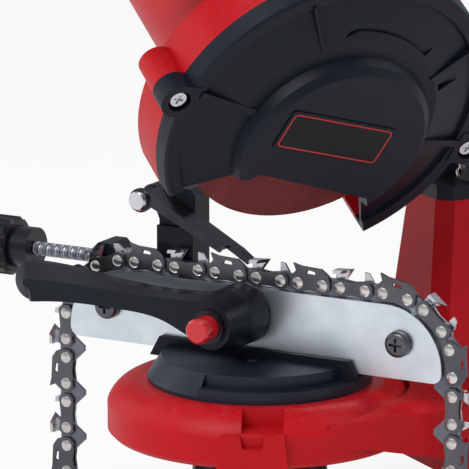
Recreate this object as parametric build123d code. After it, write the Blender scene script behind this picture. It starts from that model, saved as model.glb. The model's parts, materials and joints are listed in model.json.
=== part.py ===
from build123d import *
import os
from math import atan2, cos, degrees, hypot, pi, radians, sin, tan

# Bench-mounted electric chainsaw sharpener: a swinging chain vise in front of a hinged grinding head.
# Millimetres. +Z is up, the user stands at -Y and the wheel faces +X.
# The origin is the centre of the four bench bolts, on the underside of the foot.

# --- base casting
BENCH_BOLT_X = 88.0  # spacing of the bench bolts, side to side
BENCH_BOLT_Y = 52.0  # spacing of the bench bolts, front to back
BENCH_BOLT_D = 8.5
FOOT_HALF_WIDTH = 64.0
FOOT_HEIGHT = 26.0
FOOT_FRONT = 44.0  # foot's front edge, ahead of the origin
FOOT_BACK = 44.0
FOOT_CHAMFER = 8.0
CASTING_WALL = 6.0
TABLE_REACH = 106.0  # turntable axis, ahead of the origin
TABLE_HEIGHT = 38.0  # top of the turntable's seat above the bench
SEAT_R = 62.0
SEAT_TOP_R = 47.0
SEAT_DEPTH = 22.0
SEAT_EDGE = 9.0  # height of the rounded top edge
SEAT_BOSS_R = 16.0
SEAT_BOSS_DROP = 3.0  # boss under the seat, below its rim
POINTER_ANGLE = 61.0  # swing pointer, round from the front towards the wheel side
POINTER_WIDTH = 25.0
POINTER_FOOT_WIDTH = 28.5
POINTER_PROUD = 3.2
POINTER_TOP = -7.5
POINTER_NOTCH = 10.0  # notch's width at its mouth
POINTER_NOTCH_DEPTH = 5.3
POINTER_CHANNEL = (-4.6, 12.0)  # its two walls, either side of the notch's middle
POINTER_CHANNEL_FROM = 50.0
NECK_HALF_WIDTH = 61.5
NECK_TOP_HALF_WIDTH = 55.0
NECK_TOP = -2.0  # below the seat's top
NECK_CREASE = -5.4
NECK_BOTTOM = -17.0
NECK_LEVEL_TO = 15.0  # the neck's underside is level this far behind the turntable axis
NECK_FALL = 12.7  # and slopes down by this angle behind that
COLUMN_FRONT = 32.0  # column's front face, ahead of the origin
COLUMN_BACK = 12.0
COLUMN_HALF_WIDTH = 17.5
COLUMN_CORNER = 6.0
COLUMN_TOP = 107.0
COLUMN_FLARE_TOP = 66.0
COLUMN_FLARE = 9.0
COLUMN_TAPER = 4.0  # wider at the flare than at the top

# --- turntable and its clamp
TABLE_R = 45.7
TABLE_TOP_R = 40.0
TABLE_THICK = 10.1
SCALE_HEIGHT = 5.0  # ledge that carries the angle scale
SCALE_FROM = -4.0  # scale ledge, round from the vise's front
SCALE_TO = 98.0
VISE_SWING = 35.0  # turntable's stop, where the machine rests
STUD_R = 5.0
STUD_FLANGE_R = 19.0
STUD_FLANGE = 3.0
STUD_SCREW_R = 2.0
STUD_SCREW_X = 3.0
STUD_SCREW_Y = -12.0
STUD_SCREW_HEAD_R = 3.6
STUD_RECESS_R = 5.0
STUD_CLEAR = 0.1
CLAMP_WASHER_R = 14.0
CLAMP_WASHER_THICK = 2.0
KNOB_HUB_R = 19.0
KNOB_R = 27.5
KNOB_HUB_LENGTH = 6.0
KNOB_GRIP_LENGTH = 15.0
KNOB_LOBES = 6

# --- chain vise, in the turntable's own frame: X along the rail, -Y to the user
PLATE_LENGTH = 171.0
PLATE_MIDDLE = -2.0
PLATE_THICK = 3.0
PLATE_BOTTOM = 8.0  # above the turntable's underside
PLATE_TOP = 37.8
PLATE_TOP_R = 25.0
PLATE_LOW_R = 4.0
CHAIN_SLOT = 1.5  # gap between the plates
PLATE_SCREW_OUT = 67.0
PLATE_SCREW_Z = 22.6
PLATE_SCREW_R = 2.5
PLATE_SCREW_HEAD_R = 5.35
PLATE_SCREW_HEAD = 3.2
JAW_TRAVEL = 0.6  # the front plate opens by this
BED_HALF_LENGTH = 48.0
BED_FRONT = 6.5
BED_BACK = 14.0
BED_LIP_TOP = 13.2
BED_BOTTOM = 5.0
BED_END_CUT = 4.5
BED_SCREW_R = 2.0
BED_SCREW_OUT = 30.0
BED_BACK_TOP = 33.5
BED_BACK_HALF_LENGTH = 17.0
BED_WALL = 8.0
FIT = 0.05  # running clearance on a radius
GAP = 0.3  # air between parts that move past each other

# --- clamp lever
PIN_X = -5.6
PIN_Z = 27.1
PIN_R = 4.0
LEVER_HUB_R = 12.5
LEVER_HUB_TOP_R = 9.5
LEVER_HUB_LENGTH = 27.0
LEVER_WASHER_R = 11.0
LEVER_WASHER_THICK = 1.2
LEVER_REACH = 91.4  # pin to where the lever's end begins to round
LEVER_END = 98.9
LEVER_THICK = 9.0
LEVER_OUT = 10.0  # arm's inner face, out from the front plate
LEVER_BEVEL = 4.5  # slope along the arm's top edge
BUTTON_R = 5.15
BUTTON_PROUD = 9.0
BUTTON_TRAVEL = 3.0
COLLAR_R = 7.0
COLLAR_PROUD = 1.6

# --- chain stop
STOP_SCREW_R = 3.0
STOP_SCREW_Y = 12.0
STOP_SCREW_Z = 38.8
STOP_SCREW_FROM = -117.0
STOP_SCREW_TO = -28.0
STOP_KNOB_R = 12.5
STOP_KNOB_THICK = 15.0
STOP_KNOB_NECK_R = 8.8
STOP_KNOB_NECK = 9.0
STOP_KNOB_FACE = -122.7  # grip's inner face
STOP_KNOB_FLUTES = 12
STOP_TRAVEL = 12.0
TAIL_BLOCK_FROM = -81.5
TAIL_BLOCK_LENGTH = 11.5
TAIL_BLOCK_TOP = 46.7
CARRIAGE_FROM = -50.6
CARRIAGE_LENGTH = 17.0
CARRIAGE_FRONT = 4.2
CARRIAGE_DEPTH = 13.8
CARRIAGE_BOTTOM = 22.0
CARRIAGE_STEP = 57.0
CARRIAGE_TOP = 73.0
GUIDE_SLOT_Z = 27.5
GUIDE_SLOT_HEIGHT = 5.0
PAWL_PIVOT_X = -52.6
PAWL_PIVOT_Z = 68.9
PAWL_PIN_R = 2.0
PAWL_EYE_R = 5.0
PAWL_WIDTH = 12.0
PAWL_THICK = 1.8
PAWL_FLANGE = 4.5
PAWL_SLOPE = 29.0  # blade, down to the right
PAWL_BLADE = 41.0
PAWL_BEND_X = -10.5
PAWL_NEAR = -0.6  # foot's near side, clear of the guard straps
PAWL_TIP_X = -4.4
PAWL_TIP_Z = 46.8

# --- saw chain, 3/8 inch low profile
CHAIN_HALF_PITCHES = 19.05  # three rivets, first to last
DRIVE_PITCH = 7.95
LINK_GAUGE = 1.3  # drive link thickness
STRAP_THICK = 1.2
STRAP_HALF_HEIGHT = 3.5
STRAP_WAIST = 0.9
RIVET_R = 2.1
RIVET_HEAD = 0.6
TANG_DEPTH = 8.4
CHAIN_RISE = 3.85  # rivet line above the plates
CHAIN_HANG = -56.0  # the loose ends reach this height
CHAIN_PHASE = -0.9  # rivet under the wheel, along the rail
CUTTER_TOP = 8.0
CUTTER_WIDTH = 4.7
RAMP_TOP = 8.0
DEPTH_GAUGE_TOP = 7.0

# --- grinding head, in its own frame: X out along the wheel axis, Y to the back, Z up
HEAD_TILT = 30.0
HEAD_RAISE = 17.0  # raised stop, above the level pose in which the head is drawn
HEAD_TRAVEL = 16.0
HINGE_BACK = 107.0
HINGE_UP = 14.0
WHEEL_R = 54.0
WHEEL_THICK = 3.2
WHEEL_BORE_R = 11.5
WHEEL_REACH = 4.6  # lowest wheel edge above the rivet line, along the head's tilt
GUARD_R = 69.0
GUARD_Y = 3.0  # guard's middle, beside the wheel's axis
GUARD_Z = 0.6
GUARD_JOINT = 1.0  # joint between the black cover and the red shell
GUARD_RIM = 9.5
GUARD_BAND = 5.0  # flat band round the rim
GUARD_STEP = 1.6  # the sloping face starts this much below the band
GUARD_CONE = 13.0
GUARD_CONE_R = 44.0
GUARD_FACE = 19.6
GUARD_RIBS = ((2, 42, 1.5), (47, 42, 0.7), (127, 42, 0.7), (178, 38, 1.5))  # angle, inner end, half thickness
GUARD_WALL = 2.5
POT_R = 40.0
POT_Y = 5.2
POT_Z = -4.6
MOUTH_BACK_CORNER = (-22.0, -21.8)
MOUTH_BACK_SLOPE = 45.7
MOUTH_FRONT_CORNER = (32.2, -24.4)
MOUTH_FRONT_SLOPE = 51.4
SHELL_BACK = -21.0
SHELL_WALL = 3.0
LUG_OUT = 71.0
LUG_R = 7.0
LUG_BACK = -15.0
LUG_ANGLES = (0, 90, 182)
LUG_SCREW_R = 1.75
LUG_HEAD_R = 3.3
LUG_RECESS_R = 4.6
MOTOR_R = 40.5
MOTOR_WALL = 2.8
MOTOR_SPLIT = -101.0
MOTOR_BACK = -120.0
GLAND_X = -110.0
GLAND_R = 6.0
VENTS = 8
ARM_MIDDLE = -22.0
ARM_WIDTH = 18.0
ARM_EYE_R = 12.0
EAR_THICK = 6.0
EAR_R = 13.0
HINGE_R = 4.0
BUSH_R = 6.0
BRACKET_TOP = 113.0
BRACKET_SCREW_R = 2.5
BRACKET_SCREW_HEAD_R = 4.2
SPRING_R = 4.8
SPRING_WIRE = 0.65
SPRING_COILS = 5
SPRING_X = -18.0
SPRING_AHEAD = 11.5  # ahead of the hinge
SPRING_SEAT = -44.0  # below the hinge
SPRING_HEAD = -13.2
GUIDE_R = 2.5
GUIDE_DEPTH = 3.5
DEPTH_SCREW_R = 2.5
DEPTH_SCREW_TIP = -3.0
DEPTH_TRAVEL = 5.0
DEPTH_KNOB_R = 9.0
DEPTH_KNOB_THICK = 9.0

# --- drive line
SHAFT_R = 4.0
BEARING_R = 11.0
BEARING_WIDTH = 7.0
FRONT_BEARING = -26.0
REAR_BEARING = -113.0
FLANGE_R = 18.0
FLANGE_THICK = 3.0
NUT_ACROSS = 13.0
NUT_THICK = 6.5
ROTOR_R = 19.0
ROTOR_FROM = -84.0
ROTOR_TO = -50.0
AIR_GAP = 0.5
FAN_R = 33.0
FAN_FROM = -44.0
FAN_TO = -36.0
FAN_BLADES = 9
COMMUTATOR_R = 11.0
COMMUTATOR_FROM = -98.0
COMMUTATOR_TO = -87.0

# --- handle and switch
GRIP_X = -50.0
GRIP_FROM = -46.0
GRIP_TO = -158.0
GRIP_Z = 36.0
GRIP_HALF_WIDTH = 14.0
GRIP_HALF_HEIGHT = 16.0
GRIP_CORNER = 9.0
GRIP_WALL = 2.5
GRIP_WAIST = 2.0
SWITCH_Y = -76.0
SWITCH_LENGTH = 26.0
SWITCH_WIDTH = 14.0
ROCKER_ANGLE = 8.0

# --- label plate
LABEL_LENGTH = 51.0
LABEL_HEIGHT = 19.0
LABEL_THICK = 0.5
LABEL_Y = 0.5
LABEL_Z = 1.0

# --- rotation arrow sunk in the guard's slope
ARROW_R = 50.1
ARROW_WIDTH = 5.0
ARROW_FLOOR = 11.1
ARROW_FROM = 60.0
ARROW_TO = 104.0
ARROW_TIP = 111.0

STUD_END = -SEAT_DEPTH - SEAT_BOSS_DROP - CLAMP_WASHER_THICK - KNOB_HUB_LENGTH - KNOB_GRIP_LENGTH + 6

MIN = (Align.CENTER, Align.CENTER, Align.MIN)


def block(x, y, z):
    """Box between two values on each axis."""
    size = [abs(pair[1] - pair[0]) for pair in (x, y, z)]
    return Pos((x[0] + x[1]) / 2, (y[0] + y[1]) / 2, (z[0] + z[1]) / 2) * Box(*size)


def rod_x(radius, start, end, y=0.0, z=0.0):
    return Pos(min(start, end), y, z) * Rot(Y=90) * Cylinder(radius, abs(end - start), align=MIN)


def rod_y(radius, start, end, x=0.0, z=0.0):
    return Pos(x, min(start, end), z) * Rot(X=-90) * Cylinder(radius, abs(end - start), align=MIN)


def rod_z(radius, start, end, x=0.0, y=0.0):
    return Pos(x, y, min(start, end)) * Cylinder(radius, abs(end - start), align=MIN)


def plate_y(outline, start, end):
    """Outline drawn in X and Z, as thick as from start to end along Y."""
    face = Plane.XZ * make_face(Polyline(*outline, close=True))
    return Pos(0, end, 0) * extrude(face, amount=abs(end - start))


def plate_x(outline, start, end):
    """Outline drawn in Y and Z, as thick as from start to end along X."""
    face = Plane.YZ * make_face(Polyline(*outline, close=True))
    return Pos(start, 0, 0) * extrude(face, amount=end - start)


def turned_x(profile):
    """Solid of revolution round X from (x, radius) points."""
    return revolve(make_face(Polyline(*profile, close=True)), Axis.X)


def turned_z(profile):
    """Solid of revolution round Z from (radius, z) points."""
    return revolve(Plane.XZ * make_face(Polyline(*profile, close=True)), Axis.Z)


def closed(*pieces):
    """Face inside lines and arcs that follow one another."""
    return make_face(Wire([edge for piece in pieces for edge in piece.edges()]))


def group(solids):
    return Compound(children=list(solids))


# --- where the sub-assemblies sit
TABLE = Pos(0, -TABLE_REACH, TABLE_HEIGHT)
VISE = TABLE * Rot(Z=VISE_SWING)
RIVET_Z = PLATE_TOP + CHAIN_RISE
TILT = radians(HEAD_TILT)


def wheel_centre():
    """Centre of the raised wheel: the lowered wheel stands over the chain on the turntable's axis."""
    lowered = radians(HEAD_RAISE - HEAD_TRAVEL)
    raised = radians(HEAD_RAISE)
    low_y = HINGE_BACK * cos(lowered) + HINGE_UP * sin(lowered)
    low_v = -HINGE_BACK * sin(lowered) + HINGE_UP * cos(lowered)
    high_y = HINGE_BACK * cos(raised) + HINGE_UP * sin(raised)
    high_v = -HINGE_BACK * sin(raised) + HINGE_UP * cos(raised)
    up = WHEEL_R + WHEEL_REACH + low_v - high_v
    return Vector(up * sin(TILT), low_y - high_y - TABLE_REACH, TABLE_HEIGHT + RIVET_Z + up * cos(TILT))


HEAD = Pos(wheel_centre()) * Rot(Y=HEAD_TILT) * Rot(X=-HEAD_RAISE)
HINGE = HEAD * Pos(0, HINGE_BACK, HINGE_UP) * Rot(X=HEAD_RAISE)  # X along the pin, Z up the tilted plane


# --- base
def base_casting():
    shoulder = (SEAT_TOP_R + 0.72 * (SEAT_R - SEAT_TOP_R), -0.33 * SEAT_EDGE)
    seat = revolve(Plane.XZ * closed(
        ThreePointArc((SEAT_TOP_R, 0), shoulder, (SEAT_R, -SEAT_EDGE)),
        Polyline((SEAT_R, -SEAT_EDGE), (SEAT_R, -SEAT_DEPTH + 2), (SEAT_R - 2, -SEAT_DEPTH), (0, -SEAT_DEPTH),
                 (0, 0), (SEAT_TOP_R, 0)),
    ), Axis.Z)
    pocket = turned_z([
        (SEAT_BOSS_R + 4, -SEAT_DEPTH - 1), (SEAT_R - CASTING_WALL, -SEAT_DEPTH - 1),
        (SEAT_R - CASTING_WALL, -SEAT_EDGE - CASTING_WALL), (SEAT_TOP_R - 4, -CASTING_WALL - 1),
        (SEAT_BOSS_R + 4, -CASTING_WALL - 1),
    ])
    spoke = block((-SEAT_R, SEAT_R), (-2.5, 2.5), (-SEAT_DEPTH, 0))
    spokes = spoke + Rot(Z=60) * spoke + Rot(Z=-60) * spoke
    boss = rod_z(SEAT_BOSS_R, -SEAT_DEPTH - SEAT_BOSS_DROP, -SEAT_DEPTH)
    back = TABLE_REACH - FOOT_FRONT
    neck = plate_y([
        (-NECK_HALF_WIDTH, NECK_BOTTOM), (-NECK_HALF_WIDTH, NECK_CREASE), (-NECK_TOP_HALF_WIDTH, NECK_TOP),
        (NECK_TOP_HALF_WIDTH, NECK_TOP), (NECK_HALF_WIDTH, NECK_CREASE), (NECK_HALF_WIDTH, NECK_BOTTOM),
    ], 0, back + 8)
    fall = (back + 8 - NECK_LEVEL_TO) * tan(radians(NECK_FALL))
    heel = plate_x([
        (NECK_LEVEL_TO, NECK_CREASE), (NECK_LEVEL_TO, NECK_BOTTOM), (back + 8, NECK_BOTTOM - fall),
        (back + 8, NECK_CREASE),
    ], -NECK_HALF_WIDTH, NECK_HALF_WIDTH)
    neck = neck + heel - rod_z(SEAT_R - 1, -TABLE_HEIGHT, 0)
    hollow = plate_x([
        (SEAT_R - 4, NECK_BOTTOM - 30), (SEAT_R - 4, NECK_TOP - CASTING_WALL), (back + 20, NECK_TOP - CASTING_WALL),
        (back + 20, NECK_BOTTOM - 30),
    ], -NECK_TOP_HALF_WIDTH + 4, NECK_TOP_HALF_WIDTH - 4)
    front = TABLE * (seat - (pocket - spokes) + boss + neck)
    foot = plate_y([
        (-FOOT_HALF_WIDTH, 0), (-FOOT_HALF_WIDTH, FOOT_HEIGHT - FOOT_CHAMFER),
        (-FOOT_HALF_WIDTH + FOOT_CHAMFER, FOOT_HEIGHT), (FOOT_HALF_WIDTH - FOOT_CHAMFER, FOOT_HEIGHT),
        (FOOT_HALF_WIDTH, FOOT_HEIGHT - FOOT_CHAMFER), (FOOT_HALF_WIDTH, 0),
    ], -FOOT_FRONT, FOOT_BACK)
    inside = FOOT_HALF_WIDTH - CASTING_WALL
    under = block((-inside, inside), (-FOOT_FRONT + CASTING_WALL, FOOT_BACK - CASTING_WALL),
                  (-1, FOOT_HEIGHT - FOOT_CHAMFER))
    bolts = GridLocations(BENCH_BOLT_X, BENCH_BOLT_Y, 2, 2)
    pads = [place * rod_z(BENCH_BOLT_D / 2 + 5, 0, FOOT_HEIGHT - 2) for place in bolts]
    holes = [place * rod_z(BENCH_BOLT_D / 2, -1, FOOT_HEIGHT + 1) for place in bolts]
    ribs = block((-2.5, 2.5), (-FOOT_FRONT + 2, FOOT_BACK - 2), (3, FOOT_HEIGHT - 2))
    body = front - TABLE * hollow + (foot - under) + ribs + pads + column()
    body = body - holes - TABLE * rod_z(STUD_R + STUD_CLEAR, -SEAT_DEPTH - 10, 1)
    holes_up = [HOLE * rod_z(BRACKET_SCREW_R - 0.4, COLUMN_TOP - 14, COLUMN_TOP + 1) for HOLE in bracket_screw_spots()]
    body = body - holes_up
    return body + TABLE * pointer() - TABLE * pointer_cut()


def pointer():
    """Lug on the seat's rim with the notch that the swing scale is read against."""
    foot, half, notch = POINTER_FOOT_WIDTH / 2, POINTER_WIDTH / 2, POINTER_NOTCH / 2
    face = make_face(Polyline(
        (-foot, -SEAT_DEPTH), (-half, POINTER_TOP), (-notch, POINTER_TOP), (-notch * 0.76, POINTER_TOP - POINTER_NOTCH_DEPTH),
        (notch * 0.76, POINTER_TOP - POINTER_NOTCH_DEPTH), (notch, POINTER_TOP), (half, POINTER_TOP), (foot, -SEAT_DEPTH),
        close=True))
    lug = Pos(SEAT_R - 8, 0, 0) * extrude(Plane.YZ * face, amount=POINTER_PROUD + 8)
    low, high = POINTER_CHANNEL
    lug += block((POINTER_CHANNEL_FROM - 2, SEAT_R - 7), (low - 2, high + 1), (POINTER_TOP - 2.4, POINTER_TOP + 1))
    return Rot(Z=POINTER_ANGLE - 90) * lug


def pointer_cut():
    """Channel in the seat's top that leads out to the notch."""
    reach = (POINTER_CHANNEL_FROM, SEAT_R + POINTER_PROUD + 1)
    return Rot(Z=POINTER_ANGLE - 90) * block(reach, POINTER_CHANNEL, (POINTER_TOP, 1))


def column():
    """Hollow-looking red post with cut corners that flares into the foot."""
    def section(grow, z):
        wide = COLUMN_HALF_WIDTH + grow
        cut = COLUMN_CORNER
        return Pos(0, 0, z) * make_face(Polyline(
            (-wide + cut, -COLUMN_FRONT - grow), (wide - cut, -COLUMN_FRONT - grow),
            (wide, -COLUMN_FRONT - grow + cut), (wide, COLUMN_BACK + grow - 3), (wide - 3, COLUMN_BACK + grow),
            (-wide + 3, COLUMN_BACK + grow), (-wide, COLUMN_BACK + grow - 3), (-wide, -COLUMN_FRONT - grow + cut),
            close=True))
    waist = section(COLUMN_TAPER, COLUMN_FLARE_TOP)
    flare = loft([section(COLUMN_FLARE, FOOT_HEIGHT - FOOT_CHAMFER), waist], ruled=True)
    shaft = loft([waist, section(0.0, COLUMN_TOP)], ruled=True)
    return flare + shaft


def bracket_screw_spots():
    middle = (COLUMN_BACK - COLUMN_FRONT) / 2
    reach = (COLUMN_BACK + COLUMN_FRONT) / 2 - 6.5
    return [Pos(side * (COLUMN_HALF_WIDTH - 6.5), middle + end * reach, 0) for side, end in ((-1, -1), (1, 1))]


def pivot_bracket():
    """Black head bracket on the column: a foot block and a fork that leans with the head."""
    foot = block((-COLUMN_HALF_WIDTH, COLUMN_HALF_WIDTH), (-COLUMN_FRONT, COLUMN_BACK), (COLUMN_TOP, BRACKET_TOP))
    foot = chamfer(foot.edges().filter_by(Axis.Z), 5)
    half = ARM_WIDTH / 2 + GAP
    front = [(-14, SPRING_SEAT + 16), (-20.6, SPRING_SEAT), (-30, SPRING_SEAT - 9), (-30, -75)]
    fork = HINGE * plate_x([(-14, SPRING_SEAT)] + front[1:] + [(EAR_R + 1, -75), (EAR_R + 1, SPRING_SEAT)],
                           ARM_MIDDLE - half, ARM_MIDDLE + half)
    for inner, outer in ((half, half + EAR_THICK), (-half - EAR_THICK, -half)):
        eye = rod_x(EAR_R, ARM_MIDDLE + inner, ARM_MIDDLE + outer)
        stem = plate_x([(-EAR_R, 0)] + front + [(EAR_R + 1, -75), (EAR_R, 0)], ARM_MIDDLE + inner, ARM_MIDDLE + outer)
        fork += HINGE * (eye + stem)
    room = block((-COLUMN_HALF_WIDTH, COLUMN_HALF_WIDTH), (-COLUMN_FRONT, COLUMN_BACK), (COLUMN_TOP, 200))
    over = block((-200, 200), (-200, 200), (BRACKET_TOP, 250))
    fork = (fork & room) + (fork & over) + foot
    pin = HINGE * rod_x(HINGE_R, ARM_MIDDLE - 60, ARM_MIDDLE + 60)
    pin += HINGE * rod_z(GUIDE_R, SPRING_SEAT - GUIDE_DEPTH, SPRING_SEAT + 1, SPRING_X, -SPRING_AHEAD)
    pin += HINGE * rod_z(SPRING_R + GAP, SPRING_SEAT, SPRING_HEAD, SPRING_X, -SPRING_AHEAD)
    drill = [spot * (rod_z(BRACKET_SCREW_R, COLUMN_TOP - 1, BRACKET_TOP + 1)
                     + rod_z(BRACKET_SCREW_HEAD_R + 0.2, BRACKET_TOP - 4, BRACKET_TOP + 40))
             for spot in bracket_screw_spots()]
    return fork - pin - drill


def bracket_screws():
    parts = []
    for spot in bracket_screw_spots():
        screw = rod_z(BRACKET_SCREW_R - 0.4, COLUMN_TOP - 12, BRACKET_TOP - 4)
        head = rod_z(BRACKET_SCREW_HEAD_R, BRACKET_TOP - 4, BRACKET_TOP)
        socket = Pos(0, 0, BRACKET_TOP - 2) * extrude(RegularPolygon(2.3, 6), amount=3)
        parts.append(spot * (screw + head - socket))
    return group(parts)


def hinge_pin():
    half = ARM_WIDTH / 2 + GAP + EAR_THICK
    pin = rod_x(HINGE_R, ARM_MIDDLE - half - 3.5, ARM_MIDDLE + half)
    head = rod_x(HINGE_R + 2, ARM_MIDDLE + half, ARM_MIDDLE + half + 2.5)
    groove = rod_x(HINGE_R + 1, ARM_MIDDLE - half - 2.2, ARM_MIDDLE - half - 1) - rod_x(
        HINGE_R - 0.6, ARM_MIDDLE - half - 2.2, ARM_MIDDLE - half - 1)
    return HINGE * (pin + head - groove)


def hinge_clip():
    half = ARM_WIDTH / 2 + GAP + EAR_THICK
    ring = rod_x(HINGE_R + 2.4, ARM_MIDDLE - half - 2.2, ARM_MIDDLE - half - 1)
    ring = ring - rod_x(HINGE_R - 0.6, ARM_MIDDLE - half - 3, ARM_MIDDLE - half)
    mouth = block((ARM_MIDDLE - half - 3, ARM_MIDDLE - half), (-2.2, 2.2), (-12, 0))
    return HINGE * (ring - mouth)


# --- turntable
def turntable():
    disc = turned_z([(0, 0), (TABLE_R, 0), (TABLE_R, 1.5), (TABLE_TOP_R, TABLE_THICK), (0, TABLE_THICK)])
    span = SCALE_TO - SCALE_FROM
    start = Rot(Z=SCALE_FROM - 90)
    ledge = turned_sector(TABLE_TOP_R - 4, TABLE_R, 0, SCALE_HEIGHT, span)
    above = turned_sector(TABLE_TOP_R, TABLE_R + 1, SCALE_HEIGHT, TABLE_THICK + 1, span)
    seat = block((-TABLE_R - 1, TABLE_R + 1), (-BED_FRONT, BED_BACK), (BED_BOTTOM, TABLE_THICK + 1))
    flange = rod_z(STUD_FLANGE_R, -1, STUD_FLANGE)
    recess = rod_z(STUD_RECESS_R, TABLE_THICK - 2, TABLE_THICK + 1, STUD_SCREW_X, STUD_SCREW_Y)
    hole = rod_z(STUD_SCREW_R, 0, TABLE_THICK, STUD_SCREW_X, STUD_SCREW_Y)
    bed_holes = [spot * (rod_z(BED_SCREW_R, -1, BED_BOTTOM + 1) + rod_z(2 * BED_SCREW_R, -1, 2))
                 for spot in bed_screw_spots()]
    return VISE * (disc + start * ledge - start * above - seat - flange - recess - hole - bed_holes)


def turned_sector(inner, outer, low, high, span):
    face = Plane.XZ * make_face(Polyline((inner, low), (outer, low), (outer, high), (inner, high), close=True))
    return revolve(face, Axis.Z, span)


def clamp_stud():
    """Threaded stud under the turntable; its flange lies in the turntable's underside."""
    hole = rod_z(STUD_SCREW_R - 0.3, 0, STUD_FLANGE + 1, STUD_SCREW_X, STUD_SCREW_Y)
    return VISE * (rod_z(STUD_R, STUD_END, 0) + rod_z(STUD_FLANGE_R, 0, STUD_FLANGE) - hole)


def stud_screw():
    """Cross-head screw in the turntable's top that holds the stud's flange."""
    z = TABLE_THICK - 2
    head = rod_z(STUD_SCREW_HEAD_R, z, z + 1.6, STUD_SCREW_X, STUD_SCREW_Y)
    slot = block((-2.2, 2.2), (-0.5, 0.5), (z + 0.8, z + 3)) + block((-0.5, 0.5), (-2.2, 2.2), (z + 0.8, z + 3))
    shank = rod_z(STUD_SCREW_R - 0.3, 0.3, z, STUD_SCREW_X, STUD_SCREW_Y)
    return VISE * (head + shank - Pos(STUD_SCREW_X, STUD_SCREW_Y, 0) * slot)


def clamp_washer():
    top = -SEAT_DEPTH - SEAT_BOSS_DROP
    return VISE * (rod_z(CLAMP_WASHER_R, top - CLAMP_WASHER_THICK, top) - rod_z(STUD_R + STUD_CLEAR, top - 5, top + 1))


def clamp_knob():
    top = -SEAT_DEPTH - SEAT_BOSS_DROP - CLAMP_WASHER_THICK
    low = top - KNOB_HUB_LENGTH
    hub = rod_z(KNOB_HUB_R, low, top)
    grip = Cone(KNOB_R - 2.5, KNOB_R, 4, align=MIN)
    grip = Pos(0, 0, low - KNOB_GRIP_LENGTH) * grip + rod_z(KNOB_R, low - KNOB_GRIP_LENGTH + 4, low)
    flutes = [Rot(Z=360 / KNOB_LOBES * i) * rod_z(8, low - KNOB_GRIP_LENGTH - 1, low + 1, x=KNOB_R + 4)
              for i in range(KNOB_LOBES)]
    bore = rod_z(STUD_R + FIT, low - KNOB_GRIP_LENGTH + 5, top + 1)
    return VISE * (hub + grip - flutes - bore)


# --- vise
def plate_outline():
    """Vise plate: large top corners that the chain runs round, small low ones."""
    half = PLATE_LENGTH / 2
    left, right = PLATE_MIDDLE - half, PLATE_MIDDLE + half
    big, small = PLATE_TOP_R, PLATE_LOW_R
    return closed(
        Line((left + small, PLATE_BOTTOM), (right - small, PLATE_BOTTOM)),
        RadiusArc((right - small, PLATE_BOTTOM), (right, PLATE_BOTTOM + small), -small),
        Line((right, PLATE_BOTTOM + small), (right, PLATE_TOP - big)),
        RadiusArc((right, PLATE_TOP - big), (right - big, PLATE_TOP), -big),
        Line((right - big, PLATE_TOP), (left + big, PLATE_TOP)),
        RadiusArc((left + big, PLATE_TOP), (left, PLATE_TOP - big), -big),
        Line((left, PLATE_TOP - big), (left, PLATE_BOTTOM + small)),
        RadiusArc((left, PLATE_BOTTOM + small), (left + small, PLATE_BOTTOM), -small),
    )


def vise_plate(near):
    """One plate; its inner face is half the chain slot from the rail's middle."""
    thick = extrude(Plane.XZ * plate_outline(), amount=PLATE_THICK)
    plate = Pos(0, -CHAIN_SLOT / 2 if near else CHAIN_SLOT / 2 + PLATE_THICK, 0) * thick
    reach = CHAIN_SLOT / 2 + PLATE_THICK + 1
    for side in (-1, 1):
        plate -= rod_y(PLATE_SCREW_R + (FIT if near else 0), -reach, reach,
                       PLATE_MIDDLE + side * PLATE_SCREW_OUT, PLATE_SCREW_Z)
    return plate - rod_y(PIN_R + (FIT if near else 0), -reach, reach, PIN_X, PIN_Z)


def front_plate():
    return VISE * vise_plate(True)


def rear_plate():
    slot_from = CARRIAGE_FROM - STOP_TRAVEL - 0.5
    slot_to = CARRIAGE_FROM + CARRIAGE_LENGTH + 0.5
    half = GUIDE_SLOT_HEIGHT / 2
    slot = block((slot_from, slot_to), (0, 10), (GUIDE_SLOT_Z - half, GUIDE_SLOT_Z + half))
    return VISE * (vise_plate(False) - slot)


def plate_screws():
    """Shouldered cross-head screws through both plates, with a nut behind."""
    front = -CHAIN_SLOT / 2 - PLATE_THICK - JAW_TRAVEL - FIT
    back = CHAIN_SLOT / 2 + PLATE_THICK
    parts = []
    for side in (-1, 1):
        x = PLATE_MIDDLE + side * PLATE_SCREW_OUT
        head = rod_y(PLATE_SCREW_HEAD_R, front - PLATE_SCREW_HEAD, front, x, PLATE_SCREW_Z)
        head = fillet(head.edges().group_by(Axis.Y)[0], PLATE_SCREW_HEAD * 0.6)
        cross = block((x - 2.8, x + 2.8), (front - 4, front - 1.4), (PLATE_SCREW_Z - 0.55, PLATE_SCREW_Z + 0.55))
        cross = cross + block((x - 0.55, x + 0.55), (front - 4, front - 1.4),
                              (PLATE_SCREW_Z - 2.8, PLATE_SCREW_Z + 2.8))
        shank = rod_y(PLATE_SCREW_R, front, back + 4.5, x, PLATE_SCREW_Z)
        nut = Pos(x, back + 4, PLATE_SCREW_Z) * Rot(X=90) * extrude(RegularPolygon(4.6, 6), amount=4)
        parts.append(head - cross + shank + nut)
    return group(VISE * part for part in parts)


def bed_screw_spots():
    return [Pos(side * BED_SCREW_OUT, (BED_BACK + CHAIN_SLOT / 2 + PLATE_THICK) / 2, 0) for side in (-1, 1)]


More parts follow.
